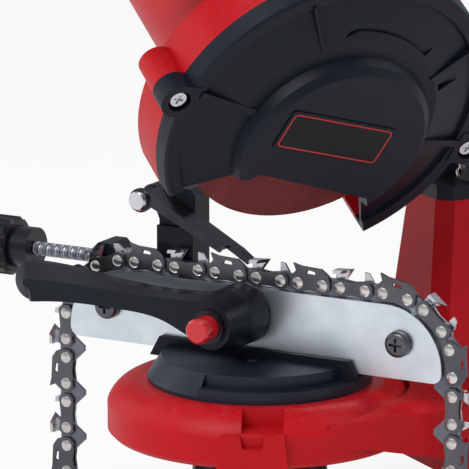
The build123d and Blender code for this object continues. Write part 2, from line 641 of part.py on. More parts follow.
def vise_bed():
    """Black bed on the turntable: a trough for the plates and a back wall that the rear plate is held to."""
    lip = BED_LIP_TOP
    body = plate_x([(-BED_FRONT, BED_BOTTOM), (BED_BACK, BED_BOTTOM), (BED_BACK, lip - 3), (BED_BACK - 3, lip),
                    (-BED_FRONT, lip)], -BED_HALF_LENGTH, BED_HALF_LENGTH)
    for side in (-1, 1):
        end = Polyline((side * BED_HALF_LENGTH, BED_BOTTOM), (side * (BED_HALF_LENGTH - BED_END_CUT), lip + 0.01),
                       (side * (BED_HALF_LENGTH + 1), lip + 0.01), close=True)
        body -= Pos(0, BED_BACK + 1, 0) * extrude(Plane.XZ * make_face(end), amount=BED_BACK + BED_FRONT + 2)
    reach = CHAIN_SLOT / 2 + PLATE_THICK
    trough = block((-100, 100), (-reach - JAW_TRAVEL - FIT, reach), (PLATE_BOTTOM, 60))
    wall = plate_y([
        (-BED_BACK_HALF_LENGTH - 8, lip - 1), (-BED_BACK_HALF_LENGTH, BED_BACK_TOP),
        (BED_BACK_HALF_LENGTH - 8, BED_BACK_TOP), (BED_BACK_HALF_LENGTH + 2, lip - 1),
    ], reach, reach + BED_WALL)
    bolt = rod_y(PIN_R, -30, 60, PIN_X, PIN_Z)
    hub_room = rod_y(LEVER_HUB_R + GAP, -40, -reach, PIN_X, PIN_Z)
    screws = [spot * rod_z(BED_SCREW_R - 0.3, 0, BED_BOTTOM + 5) for spot in bed_screw_spots()]
    return VISE * (body - trough + wall - bolt - hub_room - screws)


def bed_screws():
    """Countersunk screws from under the turntable into the bed."""
    parts = []
    for spot in bed_screw_spots():
        screw = rod_z(BED_SCREW_R - 0.3, 0.4, BED_BOTTOM + 4.5) + rod_z(2 * BED_SCREW_R - 0.2, 0.4, 2)
        socket = Pos(0, 0, 0.3) * extrude(RegularPolygon(1.5, 6), amount=0.9)
        parts.append(spot * (screw - socket))
    return group(VISE * part for part in parts)


# --- clamp lever
HUB_BACK = -CHAIN_SLOT / 2 - PLATE_THICK - LEVER_WASHER_THICK  # hub's inner face
HUB_FRONT = HUB_BACK - LEVER_HUB_LENGTH


def clamp_pin():
    """Stud through both plates and the bed's back wall; a nut holds it behind."""
    back = CHAIN_SLOT / 2 + PLATE_THICK + BED_WALL
    nut = Pos(PIN_X, back + 6.5, PIN_Z) * Rot(X=90) * extrude(RegularPolygon(7.5, 6), amount=6.5)
    return VISE * (rod_y(PIN_R, HUB_FRONT + 9, back, PIN_X, PIN_Z) + nut)


def lever_washer():
    ring = rod_y(LEVER_WASHER_R, HUB_BACK, HUB_BACK + LEVER_WASHER_THICK, PIN_X, PIN_Z)
    return VISE * (ring - rod_y(PIN_R + FIT, -60, 60, PIN_X, PIN_Z))


def clamp_lever():
    """Moulded lever: a tapered hub and an arm that rises to a broad flat end."""
    profile = [(0, HUB_FRONT), (LEVER_HUB_TOP_R, HUB_FRONT), (LEVER_HUB_R, HUB_FRONT + 13), (LEVER_HUB_R, HUB_BACK),
               (0, HUB_BACK)]
    hub = Pos(PIN_X, 0, PIN_Z) * revolve(make_face(Polyline(*profile, close=True)), Axis.Y)
    upper = [(0, 11.4), (-29, 9.4), (-48, 10.6), (-69, 13.0), (-LEVER_REACH, 14.0)]
    lower = [(-LEVER_REACH, -2.1), (-67, 0.3), (-48, 0.1), (-25.5, -2.5), (-17, -6.1), (0, -11)]
    cap = ThreePointArc(upper[-1], (-LEVER_END, (upper[-1][1] + lower[0][1]) / 2), lower[0])
    face = closed(Spline(*upper), cap, Spline(*lower), Line(lower[-1], upper[0]))
    arm = Pos(PIN_X, HUB_BACK - LEVER_OUT, PIN_Z) * extrude(Plane.XZ * face, amount=LEVER_THICK)
    top = arm.edges().filter_by(GeomType.BSPLINE).group_by(Axis.Y)[0].sort_by(Axis.Z)[-1]
    arm = chamfer(top, LEVER_BEVEL, 1.4 * LEVER_BEVEL)
    bore = rod_y(PIN_R + FIT, HUB_FRONT + 8, 60, PIN_X, PIN_Z)
    well = rod_y(BUTTON_R + FIT, HUB_FRONT - 20, HUB_FRONT + 8.5, PIN_X, PIN_Z)
    return VISE * (hub + arm - bore - well)


def lever_collar():
    ring = rod_y(COLLAR_R, HUB_FRONT - COLLAR_PROUD, HUB_FRONT, PIN_X, PIN_Z)
    return VISE * (ring - rod_y(BUTTON_R + FIT, -90, 60, PIN_X, PIN_Z))


def release_button():
    tip = HUB_FRONT - COLLAR_PROUD - BUTTON_PROUD
    body = rod_y(BUTTON_R, tip, HUB_FRONT + 8 - BUTTON_TRAVEL - GAP, PIN_X, PIN_Z)
    body = chamfer(body.edges().group_by(Axis.Y)[0], 0.9)
    return VISE * body


# --- chain stop
def tail_block():
    """Bearing for the stop screw, on the back of the rear plate."""
    back = CHAIN_SLOT / 2 + PLATE_THICK
    body = block((TAIL_BLOCK_FROM, TAIL_BLOCK_FROM + TAIL_BLOCK_LENGTH), (back, STOP_SCREW_Y + 6),
                 (STOP_SCREW_Z - 10, TAIL_BLOCK_TOP))
    body = chamfer(body.edges().filter_by(Axis.Y).group_by(Axis.Z)[-1], 3)
    return VISE * (body - rod_x(STOP_SCREW_R + FIT, -200, 0, STOP_SCREW_Y, STOP_SCREW_Z))


def stop_screw():
    rod = rod_x(STOP_SCREW_R, STOP_SCREW_FROM, STOP_SCREW_TO, STOP_SCREW_Y, STOP_SCREW_Z)
    rod = chamfer(rod.edges().group_by(Axis.X)[-1], 0.6)
    after = TAIL_BLOCK_FROM + TAIL_BLOCK_LENGTH
    for start, end in ((TAIL_BLOCK_FROM - 2.1, TAIL_BLOCK_FROM - 0.1), (after + 0.1, after + 2.1)):
        rod += rod_x(STOP_SCREW_R + 2, start, end, STOP_SCREW_Y, STOP_SCREW_Z)
    return VISE * rod


def stop_knob():
    grip = rod_x(STOP_KNOB_R, STOP_KNOB_FACE - STOP_KNOB_THICK, STOP_KNOB_FACE)
    grip = chamfer(grip.edges().filter_by(GeomType.CIRCLE), 1.5)
    for i in range(STOP_KNOB_FLUTES):
        turn = Rot(X=360 / STOP_KNOB_FLUTES * i)
        grip -= turn * rod_x(2.2, STOP_KNOB_FACE - STOP_KNOB_THICK - 1, STOP_KNOB_FACE + 1, y=STOP_KNOB_R + 1.1)
    neck = rod_x(STOP_KNOB_NECK_R, STOP_KNOB_FACE, STOP_KNOB_FACE + STOP_KNOB_NECK)
    knob = grip + neck - rod_x(STOP_SCREW_R, STOP_SCREW_FROM, 0)
    return VISE * Pos(0, STOP_SCREW_Y, STOP_SCREW_Z) * knob


def stop_carriage():
    """Slider with a tall post; its ear carries the pawl."""
    x0, x1 = CARRIAGE_FROM, CARRIAGE_FROM + CARRIAGE_LENGTH
    y0, y1 = CARRIAGE_FRONT, CARRIAGE_FRONT + CARRIAGE_DEPTH
    post = block((x0, x1), (PAWL_WIDTH / 2 + GAP, y1), (CARRIAGE_BOTTOM, CARRIAGE_TOP))
    post = chamfer(post.edges().group_by(Axis.Z)[-1].filter_by(Axis.Y), 2.5)
    post += block((x0, x1), (y0, y1), (CARRIAGE_BOTTOM, CARRIAGE_STEP))
    half = GUIDE_SLOT_HEIGHT / 2 - FIT
    key = block((x0 + 0.5, x1 - 0.5), (CHAIN_SLOT / 2 + 0.6, y0 + 0.1), (GUIDE_SLOT_Z - half, GUIDE_SLOT_Z + half))
    ear_y = (PAWL_WIDTH / 2 + GAP, y1 - 3)
    ear = rod_y(PAWL_EYE_R, ear_y[0], ear_y[1], PAWL_PIVOT_X, PAWL_PIVOT_Z)
    link = plate_y([(PAWL_PIVOT_X, PAWL_PIVOT_Z + PAWL_EYE_R), (PAWL_PIVOT_X, PAWL_PIVOT_Z - PAWL_EYE_R),
                    (x0 + 1, PAWL_PIVOT_Z - 12), (x0 + 1, CARRIAGE_TOP - 0.5)], ear_y[0], ear_y[1])
    thread = rod_x(STOP_SCREW_R + FIT, -200, 0, STOP_SCREW_Y, STOP_SCREW_Z)
    pin = rod_y(PAWL_PIN_R, -20, 30, PAWL_PIVOT_X, PAWL_PIVOT_Z)
    return VISE * (post + key + ear + link - thread - pin)


def pawl_pin():
    head = rod_y(PAWL_PIN_R + 2.0, -PAWL_WIDTH / 2 - 2.8, -PAWL_WIDTH / 2 - GAP, PAWL_PIVOT_X, PAWL_PIVOT_Z)
    head = chamfer(head.edges().group_by(Axis.Y)[0], 0.7)
    shank = rod_y(PAWL_PIN_R, -PAWL_WIDTH / 2 - GAP, CARRIAGE_FRONT + CARRIAGE_DEPTH - 3, PAWL_PIVOT_X, PAWL_PIVOT_Z)
    return VISE * (head + shank)


def pawl():
    """Bent-up chain stop: a broad blade with a folded near edge and a foot on the cutter's side."""
    half = PAWL_WIDTH / 2
    slope = radians(PAWL_SLOPE)

    def on_top(run, down=0.0):
        """Point in the rail's plane, along the blade's top from above the pivot."""
        return (PAWL_PIVOT_X + run * cos(slope) + (PAWL_EYE_R - down) * sin(slope),
                PAWL_PIVOT_Z - run * sin(slope) + (PAWL_EYE_R - down) * cos(slope))
    sheet = block((0, PAWL_BLADE), (-half, half), (PAWL_EYE_R - PAWL_THICK, PAWL_EYE_R))
    fold = plate_y([(-1, PAWL_EYE_R), (PAWL_BLADE, PAWL_EYE_R), (PAWL_BLADE, PAWL_EYE_R - 2.6),
                    (8, PAWL_EYE_R - PAWL_FLANGE), (-1, 0)], -half, -half + PAWL_THICK)
    eyes = rod_y(PAWL_EYE_R, -half, -half + PAWL_THICK) + rod_y(PAWL_EYE_R, half - PAWL_THICK, half)
    body = Pos(PAWL_PIVOT_X, 0, PAWL_PIVOT_Z) * Rot(Y=PAWL_SLOPE) * (sheet + fold + eyes)
    bend = (PAWL_BEND_X - on_top(0)[0]) / cos(slope)
    foot = plate_y([on_top(PAWL_BLADE - 2), on_top(bend), (PAWL_TIP_X, PAWL_TIP_Z), (PAWL_TIP_X - 1.3, PAWL_TIP_Z - 0.6),
                    on_top(bend - 0.6, PAWL_THICK), on_top(PAWL_BLADE - 2, PAWL_THICK)], PAWL_NEAR, half)
    return VISE * (body + foot - rod_y(PAWL_PIN_R + FIT, -20, 20, PAWL_PIVOT_X, PAWL_PIVOT_Z))


# --- saw chain held in the vise
def chain_path(s):
    """Point at arc length s along the rivet line, from the rail's middle; both ends hang."""
    half = PLATE_LENGTH / 2 - PLATE_TOP_R
    radius = PLATE_TOP_R + CHAIN_RISE
    side = 1 if s >= 0 else -1
    flat = half + side * PLATE_MIDDLE
    run = abs(s)
    if run <= flat:
        return side * run, RIVET_Z
    if run <= flat + radius * pi / 2:
        turn = (run - flat) / radius
        return side * (flat + radius * sin(turn)), RIVET_Z - radius * (1 - cos(turn))
    return side * (flat + radius), RIVET_Z - radius - (run - flat - radius * pi / 2)


def rivet_points():
    """Rivets from the left end to the right one, and the number of the one under the wheel."""
    def walk(direction):
        s, points, strap = CHAIN_PHASE, [], direction > 0
        while not points or points[-1][1] > CHAIN_HANG:
            pitch = CHAIN_HALF_PITCHES - DRIVE_PITCH if strap else DRIVE_PITCH
            start = chain_path(s)
            low, high = 0.0, 2 * pitch
            for _ in range(40):
                middle = (low + high) / 2
                there = chain_path(s + direction * middle)
                if hypot(there[0] - start[0], there[1] - start[1]) < pitch:
                    low = middle
                else:
                    high = middle
            s += direction * low
            strap = not strap
            points.append(chain_path(s))
        return points
    left = walk(-1)
    return left[::-1] + [chain_path(CHAIN_PHASE)] + walk(1), len(left)


def link_places():
    """Place of each link, X from its left rivet to its right one, and its number from the wheel."""
    points, middle = rivet_points()
    places = []
    for i, ((x0, z0), (x1, z1)) in enumerate(zip(points, points[1:])):
        slope = degrees(atan2(z1 - z0, x1 - x0))
        places.append((VISE * Pos((x0 + x1) / 2, 0, (z0 + z1) / 2) * Rot(Y=-slope), i - middle))
    return places


def octagon(radius, x=0.0):
    """Eight-sided bar along Y, radius to its flats."""
    return Pos(x, 10, 0) * Rot(X=90) * extrude(RegularPolygon(radius, 8, major_radius=False), amount=20)


def rivet_holes(pitch):
    hole = RIVET_R / cos(pi / 8) + 0.02
    return octagon(hole, -pitch / 2) + octagon(hole, pitch / 2)


STRAP_PITCH = CHAIN_HALF_PITCHES - DRIVE_PITCH
STRAP_INNER = LINK_GAUGE / 2 + 0.02
STRAP_OUTER = STRAP_INNER + STRAP_THICK


def drive_link():
    """Centre link with the tang that runs in the slot."""
    half = DRIVE_PITCH / 2
    r = STRAP_HALF_HEIGHT - 0.3
    outline = [(-half - r, 1.2), (-half - 1.4, r), (half + 1.4, r), (half + r, 1.2), (half + r, -1.2),
               (half + 0.8, -r - 1), (1.6, -TANG_DEPTH), (-0.6, -TANG_DEPTH), (-half - 1.6, -r), (-half - r, -1.2)]
    return plate_y(outline, -LINK_GAUGE / 2, LINK_GAUGE / 2) - rivet_holes(DRIVE_PITCH)


def strap(near, hump=()):
    """Outer link with a waist; hump holds the points of a raised top edge, right to left."""
    half, r = STRAP_PITCH / 2, STRAP_HALF_HEIGHT
    top = list(hump) or [(half + 1.5, r), (0, r - STRAP_WAIST), (-half - 1.5, r)]
    outline = [(-half - r, -1.5), (-half - 1.5, -r), (0, -r + STRAP_WAIST), (half + 1.5, -r), (half + r, -1.5),
               (half + r, 1.5)] + top + [(-half - r, 1.5)]
    start, end = (-STRAP_OUTER, -STRAP_INNER) if near else (STRAP_INNER, STRAP_OUTER)
    return plate_y(outline, start, end) - rivet_holes(STRAP_PITCH)


def guard_strap():
    """Near-side link with a ramp that shields the next depth gauge, and a slot under the ramp."""
    half = STRAP_PITCH / 2
    hump = [(half + 2.4, 4.6), (half - 0.4, 6.6), (-half + 1.5, RAMP_TOP - 0.9), (-half - 2.0, RAMP_TOP),
            (-half - 0.8, 5.2), (-half - 2.2, STRAP_HALF_HEIGHT)]
    slot = plate_y([(-1.8, 4.0), (2.6, 3.8), (2.2, 5.2), (-1.0, 5.8)], -5, 5)
    return strap(True, hump) - slot


def cutter():
    """Far-side cutter: side plate, top plate folded over the chain and depth gauge.

    The top plate's front is ground parallel to the wheel, which just clears it."""
    half, r = STRAP_PITCH / 2, STRAP_HALF_HEIGHT
    heel = plate_y([(-half - 3.2, 2.0), (half, 2.0), (half, CUTTER_TOP), (-half - 2.6, CUTTER_TOP - 0.8)],
                   STRAP_INNER, STRAP_OUTER)
    roof = plate_y([(-half - 2.8, CUTTER_TOP - 2.2), (half, CUTTER_TOP - 1.4), (half, CUTTER_TOP),
                    (-half - 2.6, CUTTER_TOP - 0.8)], STRAP_OUTER - CUTTER_WIDTH, STRAP_OUTER)
    ground = Pos(GRIND_X, 0, 0) * Rot(Z=-VISE_SWING) * Rot(Y=HEAD_TILT) * block((-40, 0), (-40, 40), (-40, 40))
    gauge = plate_y([(half - 1.2, r - 1.2), (half + 3.0, r - 1.2), (half + 2.8, r), (half + 0.8, DEPTH_GAUGE_TOP - 0.4),
                     (half - 1.2, DEPTH_GAUGE_TOP)], STRAP_INNER, STRAP_OUTER)
    tooth = ((heel + roof) & ground) + gauge
    return strap(False) + (tooth - rivet_holes(STRAP_PITCH))


# the wheel's face at the rivet line, from the middle of the link that is being ground
GRIND_X = -(WHEEL_THICK / 2 + GAP) / (cos(TILT) * cos(radians(VISE_SWING))) - CHAIN_PHASE - STRAP_PITCH / 2


def chain_drive_links():
    link = drive_link()
    return group(place * link for place, number in link_places() if number % 2)


def chain_straps():
    """Plain strap beside each cutter; a guard strap and a plain one between cutters."""
    near, far, guard = strap(True), strap(False), guard_strap()
    parts = []
    for place, number in link_places():
        if number % 4 == 0:
            parts.append(place * near)
        elif number % 4 == 2:
            parts += [place * guard, place * far]
    return group(parts)


def chain_cutters():
    tooth = cutter()
    return group(place * tooth for place, number in link_places() if number % 4 == 0)


def chain_rivets():
    points, middle = rivet_points()
    half = STRAP_OUTER + RIVET_HEAD
    rivet = octagon(RIVET_R) & block((-9, 9), (-half, half), (-9, 9))
    return group(VISE * Pos(x, 0, z) * rivet for x, z in points)


# --- grinding head
GUARD_AXIS = Pos(0, GUARD_Y, GUARD_Z)
POT_AXIS = Pos(0, POT_Y, POT_Z)


def mouth(start, end):
    """Opening of the guard that the wheel reaches out of."""
    (back, back_top), (front, front_top) = MOUTH_BACK_CORNER, MOUTH_FRONT_CORNER
    floor = -GUARD_R - 25
    return plate_x([
        (back, back_top), (back - (back_top - floor) / tan(radians(MOUTH_BACK_SLOPE)), floor),
        (front + (front_top - floor) / tan(radians(MOUTH_FRONT_SLOPE)), floor), (front, front_top),
    ], start, end)


def lug_places():
    """Frames with Y out through each cover screw's lug."""
    return [GUARD_AXIS * Rot(X=angle) for angle in LUG_ANGLES]


def lug(radius, start, end):
    return rod_x(radius, start, end, LUG_OUT) + block((start, end), (GUARD_R - 5, LUG_OUT), (-radius, radius))


def head_shell():
    """Red moulding: back half of the guard, front half of the motor housing, hinge arm and handle root."""
    shell = GUARD_AXIS * turned_x([
        (GUARD_JOINT, 0), (GUARD_JOINT, GUARD_R), (SHELL_BACK + 3, GUARD_R), (SHELL_BACK, GUARD_R - 3), (SHELL_BACK, 0),
    ])
    shell += rod_x(MOTOR_R, MOTOR_SPLIT, SHELL_BACK + 1)
    for place in lug_places():
        shell += place * lug(LUG_R, LUG_BACK, GUARD_JOINT)
    shell += plate_x([
        (0, HINGE_UP + ARM_EYE_R), (HINGE_BACK, HINGE_UP + ARM_EYE_R), (HINGE_BACK, HINGE_UP - ARM_EYE_R), (0, -22),
    ], ARM_MIDDLE - ARM_WIDTH / 2, ARM_MIDDLE + ARM_WIDTH / 2)
    shell += rod_x(ARM_EYE_R, ARM_MIDDLE - ARM_WIDTH / 2, ARM_MIDDLE + ARM_WIDTH / 2, HINGE_BACK, HINGE_UP)
    root = block((GRIP_X - GRIP_HALF_WIDTH, GRIP_X + GRIP_HALF_WIDTH), (GRIP_FROM, -8),
                 (GRIP_Z - GRIP_HALF_HEIGHT, GRIP_Z + GRIP_HALF_HEIGHT - 4))
    shell += chamfer(root.edges().filter_by(Axis.Y), 5)
    mouth_space = mouth(SHELL_BACK - 1, GUARD_JOINT + 1) - rod_x(MOTOR_R, SHELL_BACK - 2, SHELL_BACK + SHELL_WALL)
    chamber = GUARD_AXIS * rod_x(GUARD_R - SHELL_WALL, SHELL_BACK + SHELL_WALL, GUARD_JOINT + 1)
    front, back = FRONT_BEARING + BEARING_WIDTH / 2, FRONT_BEARING - BEARING_WIDTH / 2
    bore = turned_x([
        (SHELL_BACK + SHELL_WALL + 1, 0), (SHELL_BACK + SHELL_WALL + 1, SHAFT_R + 2), (front, SHAFT_R + 2),
        (front, BEARING_R), (back, BEARING_R), (back, BEARING_R + 4), (SHELL_BACK - 3, BEARING_R + 4),
        (SHELL_BACK - 3, MOTOR_R - MOTOR_WALL), (MOTOR_SPLIT - 1, MOTOR_R - MOTOR_WALL), (MOTOR_SPLIT - 1, 0),
    ])
    shell -= mouth_space + chamber
    shell -= bore
    for place in lug_places():
        shell -= place * rod_x(LUG_SCREW_R, LUG_BACK + 1, GUARD_JOINT + 1, LUG_OUT)
    shell -= rod_x(BUSH_R, ARM_MIDDLE - ARM_WIDTH, ARM_MIDDLE + ARM_WIDTH, HINGE_BACK, HINGE_UP)
    shell -= rod_z(DEPTH_SCREW_R + FIT, HINGE_UP - 2 * ARM_EYE_R, HINGE_UP + 2 * ARM_EYE_R,
                   SPRING_X, HINGE_BACK - SPRING_AHEAD)
    return HEAD * shell


def hinge_bush():
    ring = rod_x(BUSH_R, ARM_MIDDLE - ARM_WIDTH / 2, ARM_MIDDLE + ARM_WIDTH / 2)
    return HINGE * (ring - rod_x(HINGE_R + FIT, -60, 30))


def motor_cover():
    """Rear half of the motor housing, with air slots in its end."""
    bore = MOTOR_R - MOTOR_WALL
    seat_r = BEARING_R + 3
    cover = turned_x([
        (MOTOR_SPLIT, MOTOR_R), (MOTOR_BACK + 6, MOTOR_R), (MOTOR_BACK, MOTOR_R - 7), (MOTOR_BACK, 0),
        (REAR_BEARING - BEARING_WIDTH / 2, 0), (REAR_BEARING - BEARING_WIDTH / 2, BEARING_R),
        (REAR_BEARING + BEARING_WIDTH / 2, BEARING_R), (REAR_BEARING + BEARING_WIDTH / 2, seat_r),
        (MOTOR_BACK + MOTOR_WALL, seat_r), (MOTOR_BACK + MOTOR_WALL, bore - 6), (MOTOR_BACK + 8, bore),
        (MOTOR_SPLIT, bore),
    ])
    for i in range(VENTS):
        slot = block((MOTOR_BACK - 1, MOTOR_BACK + 5), (18, 29), (-1.6, 1.6))
        cover -= Rot(X=360 / VENTS * (i + 0.5)) * slot
    gland = rod_z(GLAND_R, -MOTOR_R - 5, -MOTOR_R + 5, GLAND_X)
    return HEAD * (cover - Rot(X=90) * gland)


def cord_gland():
    """Bush where the supply cord would enter, behind the motor's end."""
    z = -MOTOR_R
    body = rod_z(GLAND_R, z - 1, z + 5, GLAND_X) + Pos(GLAND_X, 0, z - 15) * Cone(4.6, 7.5, 14, align=MIN)
    return HEAD * Rot(X=90) * (body - rod_z(3.2, z - 20, z + 6, GLAND_X))


def guard_cover():
    """Black wheel cover: shallow rim, sloping face and a round raised middle cut off level with the mouth."""
    w = GUARD_WALL
    band = GUARD_R - 1.5 - GUARD_BAND
    cover = GUARD_AXIS * turned_x([
        (GUARD_JOINT, 0), (GUARD_JOINT, GUARD_R), (GUARD_RIM - 1, GUARD_R - 0.5), (GUARD_RIM, GUARD_R - 1.5),
        (GUARD_RIM, band), (GUARD_RIM - GUARD_STEP, band - 0.8), (GUARD_CONE, GUARD_CONE_R), (GUARD_CONE, 0),
    ])
    cover += POT_AXIS * turned_x([
        (GUARD_JOINT, 0), (GUARD_JOINT, POT_R + 1.5), (GUARD_CONE, POT_R + 1.5), (GUARD_FACE - 2.5, POT_R),
        (GUARD_FACE, POT_R - 2.8), (GUARD_FACE, 0),
    ])
    cover -= GUARD_AXIS * turned_x([
        (GUARD_JOINT - 1, 0), (GUARD_JOINT - 1, GUARD_R - w), (GUARD_RIM - w - GUARD_STEP, GUARD_R - w - 0.5),
        (GUARD_CONE - w, GUARD_CONE_R), (GUARD_CONE - w, 0),
    ])
    cover -= POT_AXIS * turned_x([
        (GUARD_JOINT, 0), (GUARD_JOINT, POT_R - w), (GUARD_FACE - w - 2, POT_R - w), (GUARD_FACE - w, POT_R - w - 2),
        (GUARD_FACE - w, 0),
    ])
    cover -= mouth(GUARD_JOINT - 1, GUARD_FACE + 1)
    shelf = POT_AXIS * turned_x([
        (WHEEL_THICK / 2 + 2, 0), (WHEEL_THICK / 2 + 2, POT_R - 1), (GUARD_FACE - 2.5, POT_R - 1),
        (GUARD_FACE - 0.5, POT_R - 3), (GUARD_FACE - 0.5, 0),
    ])
    (back, back_top), (front, front_top) = MOUTH_BACK_CORNER, MOUTH_FRONT_CORNER
    rise = (front_top - back_top) / (front - back)
    back, back_top, front, front_top = back - 25, back_top - 25 * rise, front + 25, front_top + 25 * rise
    cover += shelf & plate_x([(back, back_top), (front, front_top), (front, front_top + w), (back, back_top + w)],
                             0, GUARD_FACE + 1)
    for place in lug_places():
        cover += place * lug(LUG_R + 0.5, GUARD_JOINT, GUARD_RIM + 0.5) - GUARD_AXIS * rod_x(GUARD_R - 1, 0, GUARD_RIM - 1)
    for place in lug_places():
        cover -= place * rod_x(LUG_SCREW_R + 0.2, 0, GUARD_FACE, LUG_OUT)
        cover -= place * rod_x(LUG_RECESS_R, GUARD_RIM - 3, GUARD_FACE, LUG_OUT)
    for angle, low, half in GUARD_RIBS:
        high = band + 1
        rib = plate_y([(GUARD_CONE - 1.5, low), (GUARD_CONE + 0.8, low + 1), (GUARD_RIM + 0.8, high), (GUARD_RIM - 1, high)],
                      -half, half)
        cover += GUARD_AXIS * Rot(X=angle - 90) * rib
    groove = block((GUARD_RIM + 0.6, GUARD_CONE + 1), (GUARD_CONE_R + 1, band - 2), (-1.7, 1.7))
    cover -= GUARD_AXIS * Rot(X=38) * groove
    return HEAD * (cover - arrow())


def arrow():
    """Sunk sign for the way the wheel turns."""
    def at(radius, angle):
        return radius * cos(radians(angle)), radius * sin(radians(angle))
    inner, outer = ARROW_R - ARROW_WIDTH / 2, ARROW_R + ARROW_WIDTH / 2
    middle = (ARROW_FROM + ARROW_TO) / 2
    face = closed(
        Line(at(inner, ARROW_FROM), at(outer, ARROW_FROM)),
        ThreePointArc(at(outer, ARROW_FROM), at(outer, middle), at(outer, ARROW_TO)),
        Polyline(at(outer, ARROW_TO), at(outer + 1.2, ARROW_TO + 1), at(inner - 2.6, ARROW_TIP), at(inner, ARROW_TO)),
        ThreePointArc(at(inner, ARROW_TO), at(inner, middle), at(inner, ARROW_FROM)),
    )
    return Pos(ARROW_FLOOR, 0, 0) * extrude(Plane.YZ * face, amount=5)


def cover_screws():
    parts = []
    for place in lug_places():
        head = rod_x(LUG_HEAD_R, GUARD_RIM - 3, GUARD_RIM - 0.8, LUG_OUT)
        shank = rod_x(LUG_SCREW_R, LUG_BACK + 2, GUARD_RIM - 3, LUG_OUT)
        slot = block((GUARD_RIM - 1.8, GUARD_RIM), (LUG_OUT - 2, LUG_OUT + 2), (-0.5, 0.5))
        slot += block((GUARD_RIM - 1.8, GUARD_RIM), (LUG_OUT - 0.5, LUG_OUT + 0.5), (-2, 2))
        parts.append(place * (head + shank - slot))
    return group(HEAD * part for part in parts)


def label_plate():
    plate = Box(LABEL_THICK, LABEL_LENGTH, LABEL_HEIGHT)
    plate = chamfer(plate.edges().filter_by(Axis.X), 1.2)
    return HEAD * Pos(GUARD_FACE + LABEL_THICK / 2, LABEL_Y, LABEL_Z) * plate


# --- drive line
WHEEL_BACK = -WHEEL_THICK / 2
WHEEL_FRONT = WHEEL_THICK / 2


def grinding_wheel():
    wheel = rod_x(WHEEL_R, WHEEL_BACK, WHEEL_FRONT) - rod_x(WHEEL_BORE_R, -10, 10)
    return HEAD * wheel


def inner_flange():
    body = rod_x(FLANGE_R, WHEEL_BACK - FLANGE_THICK, WHEEL_BACK) + rod_x(WHEEL_BORE_R, WHEEL_BACK, WHEEL_FRONT - 0.4)
    body += rod_x(SHAFT_R + 3, WHEEL_BACK - FLANGE_THICK - 3, WHEEL_BACK - FLANGE_THICK)
    return HEAD * (body - rod_x(SHAFT_R, -20, 20))


def outer_flange():
    body = rod_x(FLANGE_R, WHEEL_FRONT, WHEEL_FRONT + FLANGE_THICK)
    return HEAD * (body - rod_x(SHAFT_R, -20, 20))


def wheel_nut():
    start = WHEEL_FRONT + FLANGE_THICK
    hexagon = Pos(start, 0, 0) * Rot(Y=90) * extrude(RegularPolygon(NUT_ACROSS / 2, 6, major_radius=False), amount=NUT_THICK)
    return HEAD * (hexagon - rod_x(SHAFT_R, -20, 30))


def motor_shaft():
    end = WHEEL_FRONT + FLANGE_THICK + NUT_THICK + 1.5
    return HEAD * rod_x(SHAFT_R, REAR_BEARING - BEARING_WIDTH / 2 + 0.5, end)


def bearing(middle):
    start, end = middle - BEARING_WIDTH / 2, middle + BEARING_WIDTH / 2
    ring = rod_x(BEARING_R, start, end) - rod_x(SHAFT_R + FIT, -200, 50)
    groove = rod_x(BEARING_R - 2.2, end - 0.6, end + 1) - rod_x(SHAFT_R + 2.2, -200, 50)
    return HEAD * (ring - groove)


def rotor():
    core = rod_x(ROTOR_R, ROTOR_FROM, ROTOR_TO)
    for i in range(10):
        core -= Rot(X=36 * i) * block((ROTOR_FROM - 1, ROTOR_TO + 1), (-1.2, 1.2), (ROTOR_R - 6, ROTOR_R + 1))
    return HEAD * (core - rod_x(SHAFT_R, -200, 50))


def commutator():
    body = rod_x(COMMUTATOR_R, COMMUTATOR_FROM, COMMUTATOR_TO)
    return HEAD * (body - rod_x(SHAFT_R, -200, 50))


def cooling_fan():
    hub = rod_x(9, FAN_FROM, FAN_TO) + rod_x(FAN_R, FAN_FROM, FAN_FROM + 1.5)
    for i in range(FAN_BLADES):
        hub += Rot(X=360 / FAN_BLADES * i) * block((FAN_FROM + 1, FAN_TO), (-0.9, 0.9), (8, FAN_R - 1))
    return HEAD * (hub - rod_x(SHAFT_R, -200, 50))


def stator():
    outer = MOTOR_R - MOTOR_WALL
    core = rod_x(outer, ROTOR_FROM - 2, ROTOR_TO - 0.5) - rod_x(ROTOR_R + AIR_GAP, -200, 50)
    for side in (-1, 1):
        core -= block((-200, 50), (side * 33, side * 60), (-60, 60))
        core -= block((-200, 50), (side * 12, side * 27), (-12, 12)) - rod_x(ROTOR_R + 4, -200, 50)
    return HEAD * core


def brush_holders():
    parts = []
    for side in (-1, 1):
        tube = block((COMMUTATOR_FROM + 1.5, COMMUTATOR_TO - 1.5), (-4.5, 4.5),
                     (side * (COMMUTATOR_R + 3), side * (MOTOR_R - MOTOR_WALL - 0.6)))
        well = block((COMMUTATOR_FROM + 2.5, COMMUTATOR_TO - 2.5), (-3.5, 3.5),
                     (side * (COMMUTATOR_R + 2), side * (MOTOR_R - MOTOR_WALL - 3)))
        parts.append(tube - well)
    return group(HEAD * part for part in parts)


def carbon_brushes():
    parts = []
    for side in (-1, 1):
        parts.append(block((COMMUTATOR_FROM + 2.5, COMMUTATOR_TO - 2.5), (-3.5, 3.5),
                           (side * (COMMUTATOR_R + 0.1), side * (COMMUTATOR_R + 14))))
    return group(HEAD * part for part in parts)


# --- depth stop and return spring
def spring_guide():
    """Pin that stands in the bracket, inside the spring; the depth screw comes to rest on it."""
    top = lowered(DEPTH_SCREW_TIP) - GAP
    return HINGE * rod_z(GUIDE_R, SPRING_SEAT - GUIDE_DEPTH, top, SPRING_X, -SPRING_AHEAD)


def lowered(z):
    """Height below the hinge of a point on the depth screw's axis when the head is down."""
    angle = radians(HEAD_RAISE - HEAD_TRAVEL)
    return SPRING_AHEAD * sin(angle) + (z - HINGE_UP) * cos(angle)


